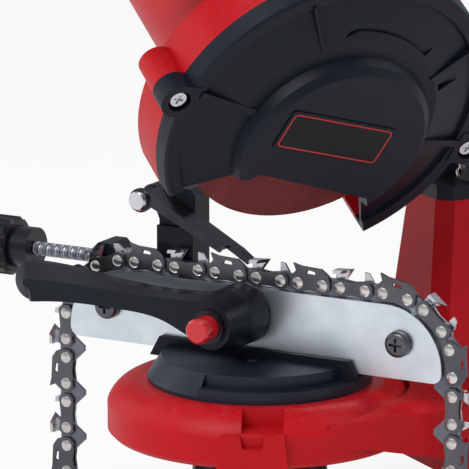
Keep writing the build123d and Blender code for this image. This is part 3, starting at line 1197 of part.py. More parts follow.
def depth_screw():
    return HEAD * rod_z(DEPTH_SCREW_R, DEPTH_SCREW_TIP, HINGE_UP + 36, SPRING_X, HINGE_BACK - SPRING_AHEAD)


def depth_knob():
    """Knurled nut on top of the arm that draws the depth screw up and down."""
    z0 = HINGE_UP + ARM_EYE_R + GAP
    grip = rod_z(DEPTH_KNOB_R, z0, z0 + DEPTH_KNOB_THICK)
    for i in range(8):
        grip -= Rot(Z=45 * i) * rod_z(1.8, z0 + 2, z0 + DEPTH_KNOB_THICK + 1, x=DEPTH_KNOB_R + 0.8)
    grip -= rod_z(DEPTH_SCREW_R + FIT, z0 - 1, z0 + 20)
    return HEAD * Pos(SPRING_X, HINGE_BACK - SPRING_AHEAD, 0) * grip


def return_spring():
    """Compression spring between the bracket and the head's arm."""
    low, high = SPRING_SEAT + SPRING_WIRE, SPRING_HEAD - SPRING_WIRE
    coil = Helix(pitch=(high - low) / SPRING_COILS, height=high - low, radius=SPRING_R - SPRING_WIRE)
    wire = sweep(Plane(origin=coil @ 0, z_dir=coil % 0) * RegularPolygon(SPRING_WIRE, 5), path=coil)
    return HINGE * Pos(SPRING_X, -SPRING_AHEAD, low) * wire


# --- handle
def grip_section(grow, y):
    wide, tall = GRIP_HALF_WIDTH + grow, GRIP_HALF_HEIGHT + grow
    corner = max(GRIP_CORNER + grow, 1)
    return Pos(GRIP_X, y, GRIP_Z) * Rot(X=90) * RectangleRounded(2 * wide, 2 * tall, corner)


def grip_solid(grow):
    """Slim in the middle and full at both ends."""
    step = (GRIP_TO - GRIP_FROM) / 3
    waist = grow - GRIP_WAIST
    return loft([grip_section(grow, GRIP_FROM), grip_section(waist, GRIP_FROM + step),
                 grip_section(waist, GRIP_TO - step), grip_section(grow, GRIP_TO)], ruled=True)


def grip_half(side):
    shell = grip_solid(0) - grip_solid(-GRIP_WALL) + (grip_solid(0) & block((-200, 50), (GRIP_TO, GRIP_TO + 3), (-50, 90)))
    window = switch_window()
    x = (GRIP_X, GRIP_X + 60) if side > 0 else (GRIP_X - 60, GRIP_X)
    return HEAD * ((shell - window) & block(x, (-200, 0), (-50, 90)))


def switch_window():
    return block((GRIP_X - SWITCH_WIDTH / 2, GRIP_X + SWITCH_WIDTH / 2),
                 (SWITCH_Y - SWITCH_LENGTH / 2, SWITCH_Y + SWITCH_LENGTH / 2), (GRIP_Z, GRIP_Z + 40))


def handle_left():
    return grip_half(-1)


def handle_right():
    return grip_half(1)


SWITCH_TOP = GRIP_Z + GRIP_HALF_HEIGHT - 1.5


def switch_body():
    box = block((GRIP_X - SWITCH_WIDTH / 2, GRIP_X + SWITCH_WIDTH / 2),
                (SWITCH_Y - SWITCH_LENGTH / 2, SWITCH_Y + SWITCH_LENGTH / 2), (GRIP_Z - 8, SWITCH_TOP + 1.5))
    well = block((GRIP_X - SWITCH_WIDTH / 2 + 2, GRIP_X + SWITCH_WIDTH / 2 - 2),
                 (SWITCH_Y - SWITCH_LENGTH / 2 + 2, SWITCH_Y + SWITCH_LENGTH / 2 - 2), (SWITCH_TOP - 9, SWITCH_TOP + 5))
    return HEAD * (box - well)


def switch_rocker():
    half = SWITCH_LENGTH / 2 - 2.3
    wide = SWITCH_WIDTH / 2 - 2.3
    body = plate_x([(-half, 2.4), (0, 0.4), (half, 2.4), (half, -0.4), (1.5, -4.5), (-1.5, -4.5), (-half, -0.4)],
                   -wide, wide)
    return HEAD * Pos(GRIP_X, SWITCH_Y, SWITCH_TOP - 1) * Rot(X=ROCKER_ANGLE) * body


PARTS = {
    "base_casting": base_casting,
    "pivot_bracket": pivot_bracket,
    "bracket_screws": bracket_screws,
    "hinge_pin": hinge_pin,
    "hinge_clip": hinge_clip,
    "turntable": turntable,
    "clamp_stud": clamp_stud,
    "stud_screw": stud_screw,
    "clamp_washer": clamp_washer,
    "clamp_knob": clamp_knob,
    "front_plate": front_plate,
    "rear_plate": rear_plate,
    "plate_screws": plate_screws,
    "vise_bed": vise_bed,
    "bed_screws": bed_screws,
    "clamp_pin": clamp_pin,
    "lever_washer": lever_washer,
    "clamp_lever": clamp_lever,
    "lever_collar": lever_collar,
    "release_button": release_button,
    "tail_block": tail_block,
    "stop_screw": stop_screw,
    "stop_knob": stop_knob,
    "stop_carriage": stop_carriage,
    "pawl_pin": pawl_pin,
    "pawl": pawl,
    "chain_drive_links": chain_drive_links,
    "chain_straps": chain_straps,
    "chain_cutters": chain_cutters,
    "chain_rivets": chain_rivets,
    "head_shell": head_shell,
    "hinge_bush": hinge_bush,
    "motor_cover": motor_cover,
    "cord_gland": cord_gland,
    "guard_cover": guard_cover,
    "cover_screws": cover_screws,
    "label_plate": label_plate,
    "grinding_wheel": grinding_wheel,
    "inner_flange": inner_flange,
    "outer_flange": outer_flange,
    "wheel_nut": wheel_nut,
    "motor_shaft": motor_shaft,
    "front_bearing": lambda: bearing(FRONT_BEARING),
    "rear_bearing": lambda: bearing(REAR_BEARING),
    "rotor": rotor,
    "commutator": commutator,
    "cooling_fan": cooling_fan,
    "stator": stator,
    "brush_holders": brush_holders,
    "carbon_brushes": carbon_brushes,
    "spring_guide": spring_guide,
    "depth_screw": depth_screw,
    "depth_knob": depth_knob,
    "return_spring": return_spring,
    "handle_left": handle_left,
    "handle_right": handle_right,
    "switch_body": switch_body,
    "switch_rocker": switch_rocker,
}

os.makedirs("parts", exist_ok=True)
for name, make in PARTS.items():
    export_step(make(), f"parts/{name}.step")
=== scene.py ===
import json
import math
import bmesh
import bpy
from mathutils import Matrix, Vector


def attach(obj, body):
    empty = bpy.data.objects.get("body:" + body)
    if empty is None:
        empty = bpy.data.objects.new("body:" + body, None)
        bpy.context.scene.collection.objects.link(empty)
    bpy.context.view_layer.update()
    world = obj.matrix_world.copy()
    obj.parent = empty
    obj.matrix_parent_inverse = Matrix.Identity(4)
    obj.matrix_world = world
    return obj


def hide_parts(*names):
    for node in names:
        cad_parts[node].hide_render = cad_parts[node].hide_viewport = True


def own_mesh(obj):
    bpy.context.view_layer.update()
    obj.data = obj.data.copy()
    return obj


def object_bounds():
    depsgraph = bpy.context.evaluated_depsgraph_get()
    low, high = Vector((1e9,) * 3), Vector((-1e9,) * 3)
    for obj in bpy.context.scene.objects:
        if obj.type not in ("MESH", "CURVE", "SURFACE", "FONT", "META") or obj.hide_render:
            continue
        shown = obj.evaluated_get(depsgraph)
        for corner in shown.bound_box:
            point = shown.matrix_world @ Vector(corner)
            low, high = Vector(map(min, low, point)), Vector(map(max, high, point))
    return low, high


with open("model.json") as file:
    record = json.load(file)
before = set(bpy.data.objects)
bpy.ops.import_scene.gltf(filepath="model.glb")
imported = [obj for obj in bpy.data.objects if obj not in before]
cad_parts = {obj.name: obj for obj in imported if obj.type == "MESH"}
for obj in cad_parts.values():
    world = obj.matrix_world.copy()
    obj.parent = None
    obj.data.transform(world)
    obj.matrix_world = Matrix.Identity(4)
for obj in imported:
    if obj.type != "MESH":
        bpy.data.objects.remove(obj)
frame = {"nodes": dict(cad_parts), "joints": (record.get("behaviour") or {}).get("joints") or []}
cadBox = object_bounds()
nodes = frame["nodes"]
joints = {joint["name"]: joint for joint in frame["joints"]}
scene = bpy.context.scene
print("frame loaded:", len(nodes), "nodes")

# metres; the machine stands on its foot at z 0 and the user at -y
mm = 0.001
vise = {"swing": 35}
head = {"tilt": 30, "raise": 17}
viseFrame = (Matrix.Translation(joints["turntable_swing"]["pos_m"])
             @ Matrix.Rotation(math.radians(vise["swing"]), 4, "Z"))
headFrame = (Matrix.Translation(joints["wheel_spin"]["pos_m"])
             @ Matrix.Rotation(math.radians(head["tilt"]), 4, "Y")
             @ Matrix.Rotation(math.radians(-head["raise"]), 4, "X"))
hingeFrame = (Matrix.Translation(joints["head_tilt"]["pos_m"])
              @ Matrix.Rotation(math.radians(head["tilt"]), 4, "Y"))


# camera
cameraSet = {"place": (1.38022, -0.78949, 0.43722), "azimuth": 64.04, "elevation": 12.45, "lens": 300.46}


def placeCamera(settings):
    data = bpy.data.cameras.new("camera")
    data.lens = settings["lens"]
    data.sensor_width = 36
    data.clip_end = 20
    camera = bpy.data.objects.new("camera", data)
    camera.location = settings["place"]
    camera.rotation_euler = (math.radians(90 - settings["elevation"]), 0, math.radians(settings["azimuth"]))
    scene.collection.objects.link(camera)
    scene.camera = camera


placeCamera(cameraSet)
print("camera placed")


# shader effects that several finishes share
def shaderGroup(name, numbers, vectors, outputs):
    group = bpy.data.node_groups.new(name, "ShaderNodeTree")
    for label, value in numbers.items():
        socket = group.interface.new_socket(name=label, in_out="INPUT", socket_type="NodeSocketFloat")
        socket.default_value = value
    for label, value in vectors.items():
        socket = group.interface.new_socket(name=label, in_out="INPUT", socket_type="NodeSocketVector")
        socket.default_value = value
    for label in outputs:
        group.interface.new_socket(name=label, in_out="OUTPUT", socket_type="NodeSocketFloat")
    entry = group.nodes.new("NodeGroupInput")
    leave = group.nodes.new("NodeGroupOutput")
    place = group.nodes.new("ShaderNodeTexCoord").outputs["Object"]
    return group, entry.outputs, leave.inputs, place


def noiseIn(group, place, scale, detail=3.0, roughness=0.5):
    noise = group.nodes.new("ShaderNodeTexNoise")
    noise.inputs["Detail"].default_value = detail
    noise.inputs["Roughness"].default_value = roughness
    group.links.new(place, noise.inputs["Vector"])
    group.links.new(scale, noise.inputs["Scale"])
    return noise.outputs["Fac"]


def ramp(group, value, low, high):
    spread = group.nodes.new("ShaderNodeMapRange")
    spread.inputs["From Min"].default_value = low
    spread.inputs["From Max"].default_value = high
    spread.clamp = True
    group.links.new(value, spread.inputs["Value"])
    return spread.outputs["Result"]


def makeMouldGrain():
    # fine spark-eroded grain with slow changes of gloss over it
    group, given, result, place = shaderGroup(
        "mouldGrain", {"Grain": 2200.0, "Patch": 28.0}, {}, ["Height", "Gloss"])
    group.links.new(noiseIn(group, place, given["Grain"], 2.0), result["Height"])
    group.links.new(noiseIn(group, place, given["Patch"], 4.0, 0.6), result["Gloss"])
    return group


def makeStreaks():
    # rolled or brushed lines; Stretch is small along the lines
    group, given, result, place = shaderGroup(
        "rolledStreaks", {"Fineness": 900.0, "Bloom": 60.0}, {"Turn": (0, 0, 0), "Stretch": (0.03, 1, 1)},
        ["Line", "Bloom"])
    turned = group.nodes.new("ShaderNodeMapping")
    turned.vector_type = "TEXTURE"
    group.links.new(place, turned.inputs["Vector"])
    group.links.new(given["Turn"], turned.inputs["Rotation"])
    stretched = group.nodes.new("ShaderNodeVectorMath")
    stretched.operation = "MULTIPLY"
    group.links.new(turned.outputs["Vector"], stretched.inputs[0])
    group.links.new(given["Stretch"], stretched.inputs[1])
    group.links.new(noiseIn(group, stretched.outputs["Vector"], given["Fineness"], 2.0), result["Line"])
    group.links.new(noiseIn(group, place, given["Bloom"], 3.0, 0.65), result["Bloom"])
    return group


def makeDust():
    # light dust that settles on faces turned upwards
    group, given, result, place = shaderGroup("settledDust", {"Amount": 0.15, "Fleck": 350.0}, {}, ["Mask"])
    facing = group.nodes.new("ShaderNodeNewGeometry")
    split = group.nodes.new("ShaderNodeSeparateXYZ")
    group.links.new(facing.outputs["Normal"], split.inputs["Vector"])
    upward = ramp(group, split.outputs["Z"], 0.35, 1.0)
    fleck = ramp(group, noiseIn(group, place, given["Fleck"], 4.0, 0.7), 0.45, 0.75)
    both = group.nodes.new("ShaderNodeMath")
    both.operation = "MULTIPLY"
    group.links.new(upward, both.inputs[0])
    group.links.new(fleck, both.inputs[1])
    scaled = group.nodes.new("ShaderNodeMath")
    scaled.operation = "MULTIPLY"
    group.links.new(both.outputs[0], scaled.inputs[0])
    group.links.new(given["Amount"], scaled.inputs[1])
    group.links.new(scaled.outputs[0], result["Mask"])
    return group


mouldGrain = makeMouldGrain()
rolledStreaks = makeStreaks()
settledDust = makeDust()


# finishes
def newFinish(name, metallic=0.0, specular=0.5, coat=0.0, coatRoughness=0.1):
    material = bpy.data.materials.new(name)
    material.use_nodes = True
    shader = material.node_tree.nodes["Principled BSDF"]
    shader.inputs["Metallic"].default_value = metallic
    shader.inputs["Specular IOR Level"].default_value = specular
    shader.inputs["Coat Weight"].default_value = coat
    shader.inputs["Coat Roughness"].default_value = coatRoughness
    return material, material.node_tree, shader


def addGroup(tree, group, **values):
    node = tree.nodes.new("ShaderNodeGroup")
    node.node_tree = group
    for label, value in values.items():
        node.inputs[label].default_value = value
    return node


def mixColour(tree, mask, first, second):
    mix = tree.nodes.new("ShaderNodeMix")
    mix.data_type = "RGBA"
    for socket, colour in ((mix.inputs[6], first), (mix.inputs[7], second)):
        if isinstance(colour, tuple):
            socket.default_value = (*colour, 1)
        else:
            tree.links.new(colour, socket)
    tree.links.new(mask, mix.inputs[0])
    return mix.outputs[2]


def spanRoughness(tree, shader, mask, low, high):
    span = tree.nodes.new("ShaderNodeMapRange")
    span.inputs["To Min"].default_value = low
    span.inputs["To Max"].default_value = high
    tree.links.new(mask, span.inputs["Value"])
    tree.links.new(span.outputs["Result"], shader.inputs["Roughness"])


def addBump(tree, shader, height, depth, strength=0.5):
    bump = tree.nodes.new("ShaderNodeBump")
    bump.inputs["Strength"].default_value = strength
    bump.inputs["Distance"].default_value = depth
    tree.links.new(height, bump.inputs["Height"])
    tree.links.new(bump.outputs["Normal"], shader.inputs["Normal"])


def moulding(name, colour, wornAndSheen, low, high, grain=2200.0, depth=0.03 * mm, dust=0.1, coat=0.0, specular=0.5):
    material, tree, shader = newFinish(name, specular=specular, coat=coat)
    texture = addGroup(tree, mouldGrain, Grain=grain)
    layer = addGroup(tree, settledDust, Amount=dust)
    # the second colour is a worn tone in random patches; on the guard cover it is painted sheen
    tone = mixColour(tree, ramp(tree, texture.outputs["Gloss"], 0.35, 0.7), colour, wornAndSheen)
    dusty = mixColour(tree, layer.outputs["Mask"], tone, (0.30, 0.28, 0.26))
    tree.links.new(dusty, shader.inputs["Base Color"])
    spanRoughness(tree, shader, texture.outputs["Gloss"], low, high)
    addBump(tree, shader, texture.outputs["Height"], depth)
    return material


def metal(name, colour, shade, low, high, turn=0.0, stretch=(0.03, 1, 1), fineness=900.0, depth=0.01 * mm,
          bloom=60.0):
    material, tree, shader = newFinish(name, metallic=1.0)
    texture = addGroup(tree, rolledStreaks, Fineness=fineness, Bloom=bloom, Turn=(0, 0, math.radians(turn)),
                       Stretch=stretch)
    tone = mixColour(tree, ramp(tree, texture.outputs["Bloom"], 0.3, 0.7), colour, shade)
    tree.links.new(tone, shader.inputs["Base Color"])
    spanRoughness(tree, shader, texture.outputs["Bloom"], low, high)
    addBump(tree, shader, texture.outputs["Line"], depth, 0.4)
    return material


def wheelGrit():
    # fused grains in a dark red resin, with pale sparkling grains
    material, tree, shader = newFinish("wheelGrit", specular=0.4)
    place = tree.nodes.new("ShaderNodeTexCoord").outputs["Object"]
    cells = tree.nodes.new("ShaderNodeTexVoronoi")
    cells.inputs["Scale"].default_value = 1700
    tree.links.new(place, cells.inputs["Vector"])
    fine = addGroup(tree, mouldGrain, Grain=2600.0, Patch=45.0)
    cloud = ramp(tree, fine.outputs["Gloss"], 0.3, 0.7)
    bond = mixColour(tree, cloud, (0.13, 0.016, 0.018), (0.22, 0.03, 0.032))
    spark = mixColour(tree, ramp(tree, cells.outputs["Distance"], 0.16, 0.05), bond, (0.42, 0.18, 0.17))
    tree.links.new(spark, shader.inputs["Base Color"])
    spanRoughness(tree, shader, fine.outputs["Height"], 0.55, 0.9)
    addBump(tree, shader, cells.outputs["Distance"], 0.12 * mm, 0.8)
    return material


def castIronLayers(name):
    # thin punched laminations seen on edge
    material, tree, shader = newFinish(name, metallic=1.0)
    place = tree.nodes.new("ShaderNodeTexCoord").outputs["Object"]
    along = tree.nodes.new("ShaderNodeMapping")
    along.vector_type = "TEXTURE"
    along.inputs["Rotation"].default_value = (0, math.radians(head["tilt"]), 0)
    tree.links.new(place, along.inputs["Vector"])
    sheets = tree.nodes.new("ShaderNodeTexWave")
    sheets.inputs["Scale"].default_value = 320
    tree.links.new(along.outputs["Vector"], sheets.inputs["Vector"])
    tree.links.new(mixColour(tree, sheets.outputs["Fac"], (0.16, 0.16, 0.17), (0.42, 0.42, 0.44)),
                   shader.inputs["Base Color"])
    spanRoughness(tree, shader, sheets.outputs["Fac"], 0.35, 0.6)
    addBump(tree, shader, sheets.outputs["Fac"], 0.05 * mm)
    return material


finishes = {
    "redCasting": moulding(
        "redCasting", (0.54, 0.005, 0.011), (0.48, 0.004, 0.009), 0.36, 0.50, specular=0.18),
    "redShell": moulding(
        "redShell", (0.56, 0.005, 0.011), (0.50, 0.004, 0.009), 0.32, 0.46, specular=0.2),
    "redGloss": moulding(
        "redGloss", (0.60, 0.008, 0.014), (0.54, 0.006, 0.011), 0.14, 0.24, depth=0.01 * mm, coat=0.3),
    "blackMoulding": moulding(
        "blackMoulding", (0.005, 0.007, 0.012), (0.007, 0.010, 0.017), 0.34, 0.48, dust=0.02, specular=0.22),
    # guard cover: the lighter blue-grey tint in both colours is painted sheen from the lamps
    "blackCover": moulding(
        "blackCover", (0.005, 0.007, 0.014), (0.007, 0.010, 0.019), 0.36, 0.50, grain=2600.0, dust=0.015,
        specular=0.22),
    "blackGloss": moulding(
        "blackGloss", (0.005, 0.006, 0.009), (0.007, 0.008, 0.013), 0.22, 0.34, depth=0.015 * mm, dust=0.03,
        specular=0.35),
    "turntableDisc": moulding(
        "turntableDisc", (0.008, 0.013, 0.026), (0.012, 0.018, 0.034), 0.30, 0.44, dust=0.02, specular=0.3),
    "softRubber": moulding(
        "softRubber", (0.02, 0.02, 0.021), (0.03, 0.03, 0.031), 0.6, 0.8, dust=0.3, specular=0.3),
    "labelFoil": moulding(
        "labelFoil", (0.004, 0.004, 0.006), (0.005, 0.005, 0.008), 0.30, 0.40, depth=0.005 * mm, dust=0.0,
        specular=0.2),
    "labelRed": moulding(
        "labelRed", (0.55, 0.010, 0.020), (0.50, 0.010, 0.018), 0.3, 0.4, depth=0.005 * mm, dust=0.0),
    "graphite": moulding("graphite", (0.03, 0.03, 0.032), (0.05, 0.05, 0.052), 0.4, 0.6, dust=0.0),
    "zincPlate": metal("zincPlate", (0.80, 0.85, 0.90), (0.68, 0.74, 0.80), 0.26, 0.40, turn=35),
    "zincScrew": metal("zincScrew", (0.66, 0.66, 0.68), (0.50, 0.51, 0.54), 0.22, 0.38),
    "rolledThread": metal("rolledThread", (0.42, 0.44, 0.48), (0.34, 0.36, 0.40), 0.40, 0.52),
    "boltSteel": metal("boltSteel", (0.74, 0.74, 0.76), (0.60, 0.60, 0.62), 0.16, 0.30),
    "blackScrew": metal("blackScrew", (0.10, 0.10, 0.11), (0.16, 0.16, 0.17), 0.28, 0.42),
    "pawlSteel": metal("pawlSteel", (0.030, 0.032, 0.040), (0.055, 0.056, 0.066), 0.16, 0.28),
    "bluedSteel": metal("bluedSteel", (0.13, 0.14, 0.18), (0.23, 0.23, 0.26), 0.26, 0.42),
    "strapSteel": metal("strapSteel", (0.10, 0.10, 0.12), (0.16, 0.15, 0.16), 0.28, 0.42, fineness=1500.0),
    "cutterChrome": metal("cutterChrome", (0.52, 0.54, 0.60), (0.66, 0.64, 0.62), 0.18, 0.32, bloom=120.0),
    "rivetSteel": metal("rivetSteel", (0.78, 0.75, 0.71), (0.60, 0.58, 0.56), 0.20, 0.34),
    "turnedAlloy": metal("turnedAlloy", (0.70, 0.71, 0.72), (0.58, 0.59, 0.60), 0.26, 0.40),
    "bronze": metal("bronze", (0.62, 0.42, 0.20), (0.48, 0.32, 0.15), 0.28, 0.44),
    "wheelGrit": wheelGrit(),
    "laminations": castIronLayers("laminations"),
}
nodeFinish = {
    "redCasting": ["base_casting"],
    "redShell": ["head_shell"],
    "redGloss": ["release_button", "switch_rocker"],
    "blackMoulding": ["pivot_bracket", "vise_bed", "tail_block", "stop_carriage", "motor_cover",
                      "brush_holders", "cooling_fan", "handle_left", "handle_right", "clamp_lever",
                      "clamp_knob", "depth_knob"],
    "blackCover": ["guard_cover"],
    "blackGloss": ["lever_collar", "stop_knob", "switch_body"],
    "turntableDisc": ["turntable"],
    "softRubber": ["cord_gland"],
    "labelFoil": ["label_plate"],
    "zincPlate": ["front_plate", "rear_plate"],
    "zincScrew": ["stop_screw", "clamp_stud", "clamp_washer", "lever_washer", "depth_screw", "spring_guide"],
    "boltSteel": ["bracket_screws", "hinge_pin", "hinge_clip", "stud_screw", "bed_screws", "clamp_pin",
                  "pawl_pin", "cover_screws", "motor_shaft", "wheel_nut", "front_bearing", "rear_bearing",
                  "return_spring"],
    "blackScrew": ["plate_screws"],
    "pawlSteel": ["pawl"],
    "bluedSteel": ["chain_drive_links"],
    "strapSteel": ["chain_straps"],
    "cutterChrome": ["chain_cutters"],
    "rivetSteel": ["chain_rivets"],
    "turnedAlloy": ["inner_flange", "outer_flange"],
    "bronze": ["hinge_bush", "commutator"],
    "wheelGrit": ["grinding_wheel"],
    "laminations": ["rotor", "stator"],
    "graphite": ["carbon_brushes"],
}
for finishName, members in nodeFinish.items():
    for member in members:
        slots = nodes[member].data.materials
        slots.clear()
        slots.append(finishes[finishName])
print("finishes on", sum(len(members) for members in nodeFinish.values()), "nodes")


# pieces grown by Geometry Nodes
def inputNames(sizes):
    # a piece's capitalised sizes are the inputs of its tree
    return [label for label in sizes if label[0].isupper()]


def newTree(name, sizes):
    tree = bpy.data.node_groups.new(name, "GeometryNodeTree")
    tree.interface.new_socket(name="Geometry", in_out="INPUT", socket_type="NodeSocketGeometry")
    for label in inputNames(sizes):
        socket = tree.interface.new_socket(name=label, in_out="INPUT", socket_type="NodeSocketFloat")
        socket.default_value = sizes[label]
    tree.interface.new_socket(name="Geometry", in_out="OUTPUT", socket_type="NodeSocketGeometry")
    entry = tree.nodes.new("NodeGroupInput")
    leave = tree.nodes.new("NodeGroupOutput")
    return tree, entry.outputs, leave.inputs


def addNode(tree, kind, settings=(), **links):
    node = tree.nodes.new(kind)
    for label, value in dict(settings).items():
        setattr(node, label, value)
    for label, source in links.items():
        socket = node.inputs[label.replace("_", " ")]
        if isinstance(source, (int, float, tuple)):
            socket.default_value = source
        else:
            tree.links.new(source, socket)
    return node.outputs


def arith(tree, kind, first, second):
    node = tree.nodes.new("ShaderNodeMath")
    node.operation = kind
    for socket, source in zip(node.inputs, (first, second)):
        if isinstance(source, (int, float)):
            socket.default_value = source
        else:
            tree.links.new(source, socket)
    return node.outputs[0]


def joined(tree, *parts):
    join = tree.nodes.new("GeometryNodeJoinGeometry")
    for part in reversed(parts):
        tree.links.new(part, join.inputs[0])
    return join.outputs[0]


def rod(tree, sides, radius, length):
    return addNode(tree, "GeometryNodeMeshCylinder", Vertices=sides, Radius=radius, Depth=length)["Mesh"]


def swept(tree, path, section):
    return addNode(tree, "GeometryNodeCurveToMesh", Curve=path, Profile_Curve=section, Fill_Caps=True)["Mesh"]


def wound(tree, steps, turns, radius, height, sides, thick):
    # round wire wound into a coil
    path = addNode(tree, "GeometryNodeCurveSpiral", Resolution=steps, Rotations=turns, Start_Radius=radius,
                   End_Radius=radius, Height=height)["Curve"]
    section = addNode(tree, "GeometryNodeCurvePrimitiveCircle", Resolution=sides, Radius=thick)["Curve"]
    return swept(tree, path, section)


def onPoints(tree, points, instance, **links):
    placed = addNode(tree, "GeometryNodeInstanceOnPoints", Points=points, Instance=instance, **links)
    return placed["Instances"]


def endTree(tree, geometry, finish, leave):
    real = addNode(tree, "GeometryNodeRealizeInstances", Geometry=geometry)["Geometry"]
    dressed = addNode(tree, "GeometryNodeSetMaterial", Geometry=real)
    dressed["Geometry"].node.inputs["Material"].default_value = finishes[finish]
    tree.links.new(dressed["Geometry"], leave["Geometry"])


def grow(name, tree, sizes, points, place):
    # runs the tree on loose points and keeps the result as a plain mesh
    seed = bpy.data.meshes.new(name + "Seed")
    seed.from_pydata(points, [], [])
    carrier = bpy.data.objects.new(name + "Seed", seed)
    scene.collection.objects.link(carrier)
    modifier = carrier.modifiers.new("grow", "NODES")
    modifier.node_group = tree
    for item in tree.interface.items_tree:
        if item.in_out == "INPUT" and item.name in inputNames(sizes):
            modifier[item.identifier] = sizes[item.name]
    bpy.context.view_layer.update()
    graph = bpy.context.evaluated_depsgraph_get()
    mesh = bpy.data.meshes.new_from_object(carrier.evaluated_get(graph))
    mesh.name = name
    bpy.data.objects.remove(carrier)
    mesh.transform(place)
    piece = bpy.data.objects.new(name, mesh)
    scene.collection.objects.link(piece)
    return piece


def smoothEdges(piece, angle=35):
    for polygon in piece.data.polygons:
        polygon.use_smooth = True
    piece.data.set_sharp_from_angle(angle=math.radians(angle))


def settle(piece, body, slotName, *standsFor):
    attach(piece, body)
    if standsFor:
        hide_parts(*standsFor)


def islandCentres(node, backTo):
    # middle of each separate solid of a node, in the frame that backTo undoes
    work = bmesh.new()
    work.from_mesh(nodes[node].data)
    bmesh.ops.remove_doubles(work, verts=work.verts, dist=0.01 * mm)
    seen, centres = set(), []
    for vert in work.verts:
        if vert in seen:
            continue
        stack, island = [vert], []
        seen.add(vert)
        while stack:
            here = stack.pop()
            island.append(here.co)
            for edge in here.link_edges:
                there = edge.other_vert(here)
                if there not in seen:
                    seen.add(there)
                    stack.append(there)
        low = Vector([min(co[i] for co in island) for i in range(3)])
        high = Vector([max(co[i] for co in island) for i in range(3)])
        centres.append(backTo @ ((low + high) / 2))
    work.free()
    return centres


# chain rivets: a shank with a domed head on each side
rivet = {"Shank": 2.1 * mm, "Head": 2.35 * mm, "HalfLength": 1.88 * mm, "Dome": 0.45 * mm, "Crown": 0.55,
         "sides": 20}


def rivetTree():
    tree, given, leave = newTree("chainRivets", rivet)
    crown = arith(tree, "MULTIPLY", given["Head"], given["Crown"])
    dome = addNode(tree, "GeometryNodeMeshCone", Vertices=rivet["sides"], Radius_Top=crown,
                   Radius_Bottom=given["Head"], Depth=given["Dome"])["Mesh"]
    up = addNode(tree, "ShaderNodeCombineXYZ", Z=given["HalfLength"])["Vector"]
    top = addNode(tree, "GeometryNodeTransform", Geometry=dome, Translation=up)["Geometry"]
    bottom = addNode(tree, "GeometryNodeTransform", Geometry=top, Rotation=(math.pi, 0.0, 0.0))["Geometry"]
    length = arith(tree, "MULTIPLY", given["HalfLength"], 2.0)
    shank = rod(tree, rivet["sides"], given["Shank"], length)
    centred = addNode(tree, "GeometryNodeTransform", Geometry=joined(tree, top, bottom, shank),
                      Rotation=(math.pi / 2, 0.0, 0.0))["Geometry"]
    endTree(tree, onPoints(tree, given["Geometry"], centred), "rivetSteel", leave)
    return tree


rivetSpots = [Vector((spot.x, 0, spot.z)) for spot in islandCentres("chain_rivets", viseFrame.inverted())]
chainRivets = grow("chainRivets", rivetTree(), rivet, rivetSpots, viseFrame)
smoothEdges(chainRivets)
settle(chainRivets, "turntable_vise", "bright_steel", "chain_rivets")
print("rivets:", len(rivetSpots))

# threaded rods: a core with a ridge wound round it
stopRod = {"Radius": 3.0 * mm, "Pitch": 1.0 * mm, "Ridge": 0.42, "Length": 89.0 * mm, "start": -117.0 * mm,
           "y": 12.0 * mm, "z": 38.8 * mm, "sides": 24, "ridgeSides": 4, "collar": 5.0 * mm,
           "collarThick": 2.0 * mm, "collarSides": 32, "collarAt": (34.4 * mm, 48.1 * mm)}


def rodTree(name, sizes):
    tree, given, leave = newTree(name, sizes)
    ridge = arith(tree, "MULTIPLY", given["Pitch"], given["Ridge"])
    line = arith(tree, "SUBTRACT", given["Radius"], ridge)
    turns = arith(tree, "DIVIDE", given["Length"], given["Pitch"])
    thread = wound(tree, sizes["sides"], turns, line, given["Length"], sizes["ridgeSides"], ridge)
    core = rod(tree, sizes["sides"], line, given["Length"])
    half = arith(tree, "MULTIPLY", given["Length"], 0.5)
    lift = addNode(tree, "ShaderNodeCombineXYZ", Z=half)["Vector"]
    raised = addNode(tree, "GeometryNodeTransform", Geometry=core, Translation=lift)["Geometry"]
    collar = rod(tree, sizes["collarSides"], sizes["collar"], sizes["collarThick"])
    collars = onPoints(tree, given["Geometry"], collar)
    endTree(tree, joined(tree, thread, raised, collars), "rolledThread", leave)
    return tree


alongX = Matrix.Rotation(math.pi / 2, 4, "Y")
stopThread = grow("stopThread", rodTree("threadedRod", stopRod), stopRod,
                  [(0, 0, along) for along in stopRod["collarAt"]],
                  viseFrame @ Matrix.Translation((stopRod["start"], stopRod["y"], stopRod["z"])) @ alongX)
smoothEdges(stopThread, 50)
settle(stopThread, "stop_drive", "zinc_plate", "stop_screw")
print("stop rod threaded")

# angle scale on the turntable's ledge: a line every five degrees, and every third one longer
scaleMarks = {"Short": 1.6 * mm, "Long": 2.8 * mm, "Wide": 0.5 * mm, "Thick": 0.3 * mm, "LongEvery": 3,
              "ring": 41.3 * mm, "ledge": 5.0 * mm, "from": -90, "to": 0, "every": 5}


def markTree():
    tree, given, leave = newTree("scaleMarks", scaleMarks)
    here = addNode(tree, "GeometryNodeInputPosition")["Position"]
    spot = addNode(tree, "ShaderNodeSeparateXYZ", Vector=here)
    turn = addNode(tree, "ShaderNodeCombineXYZ", Z=arith(tree, "ARCTAN2", spot["Y"], spot["X"]))["Vector"]
    count = arith(tree, "MODULO", addNode(tree, "GeometryNodeInputIndex")["Index"], given["LongEvery"])
    isLong = arith(tree, "LESS_THAN", count, 0.5)
    extra = arith(tree, "MULTIPLY", arith(tree, "SUBTRACT", given["Long"], given["Short"]), isLong)
    reach = arith(tree, "ADD", given["Short"], extra)
    size = addNode(tree, "ShaderNodeCombineXYZ", X=reach, Y=given["Wide"], Z=given["Thick"])["Vector"]
    bar = addNode(tree, "GeometryNodeMeshCube", Size=(1.0, 1.0, 1.0))["Mesh"]
    outward = addNode(tree, "GeometryNodeTransform", Geometry=bar, Translation=(0.5, 0.0, 0.0))["Geometry"]
    lines = onPoints(tree, given["Geometry"], outward, Rotation=turn, Scale=size)
    endTree(tree, lines, "turntableDisc", leave)
    return tree


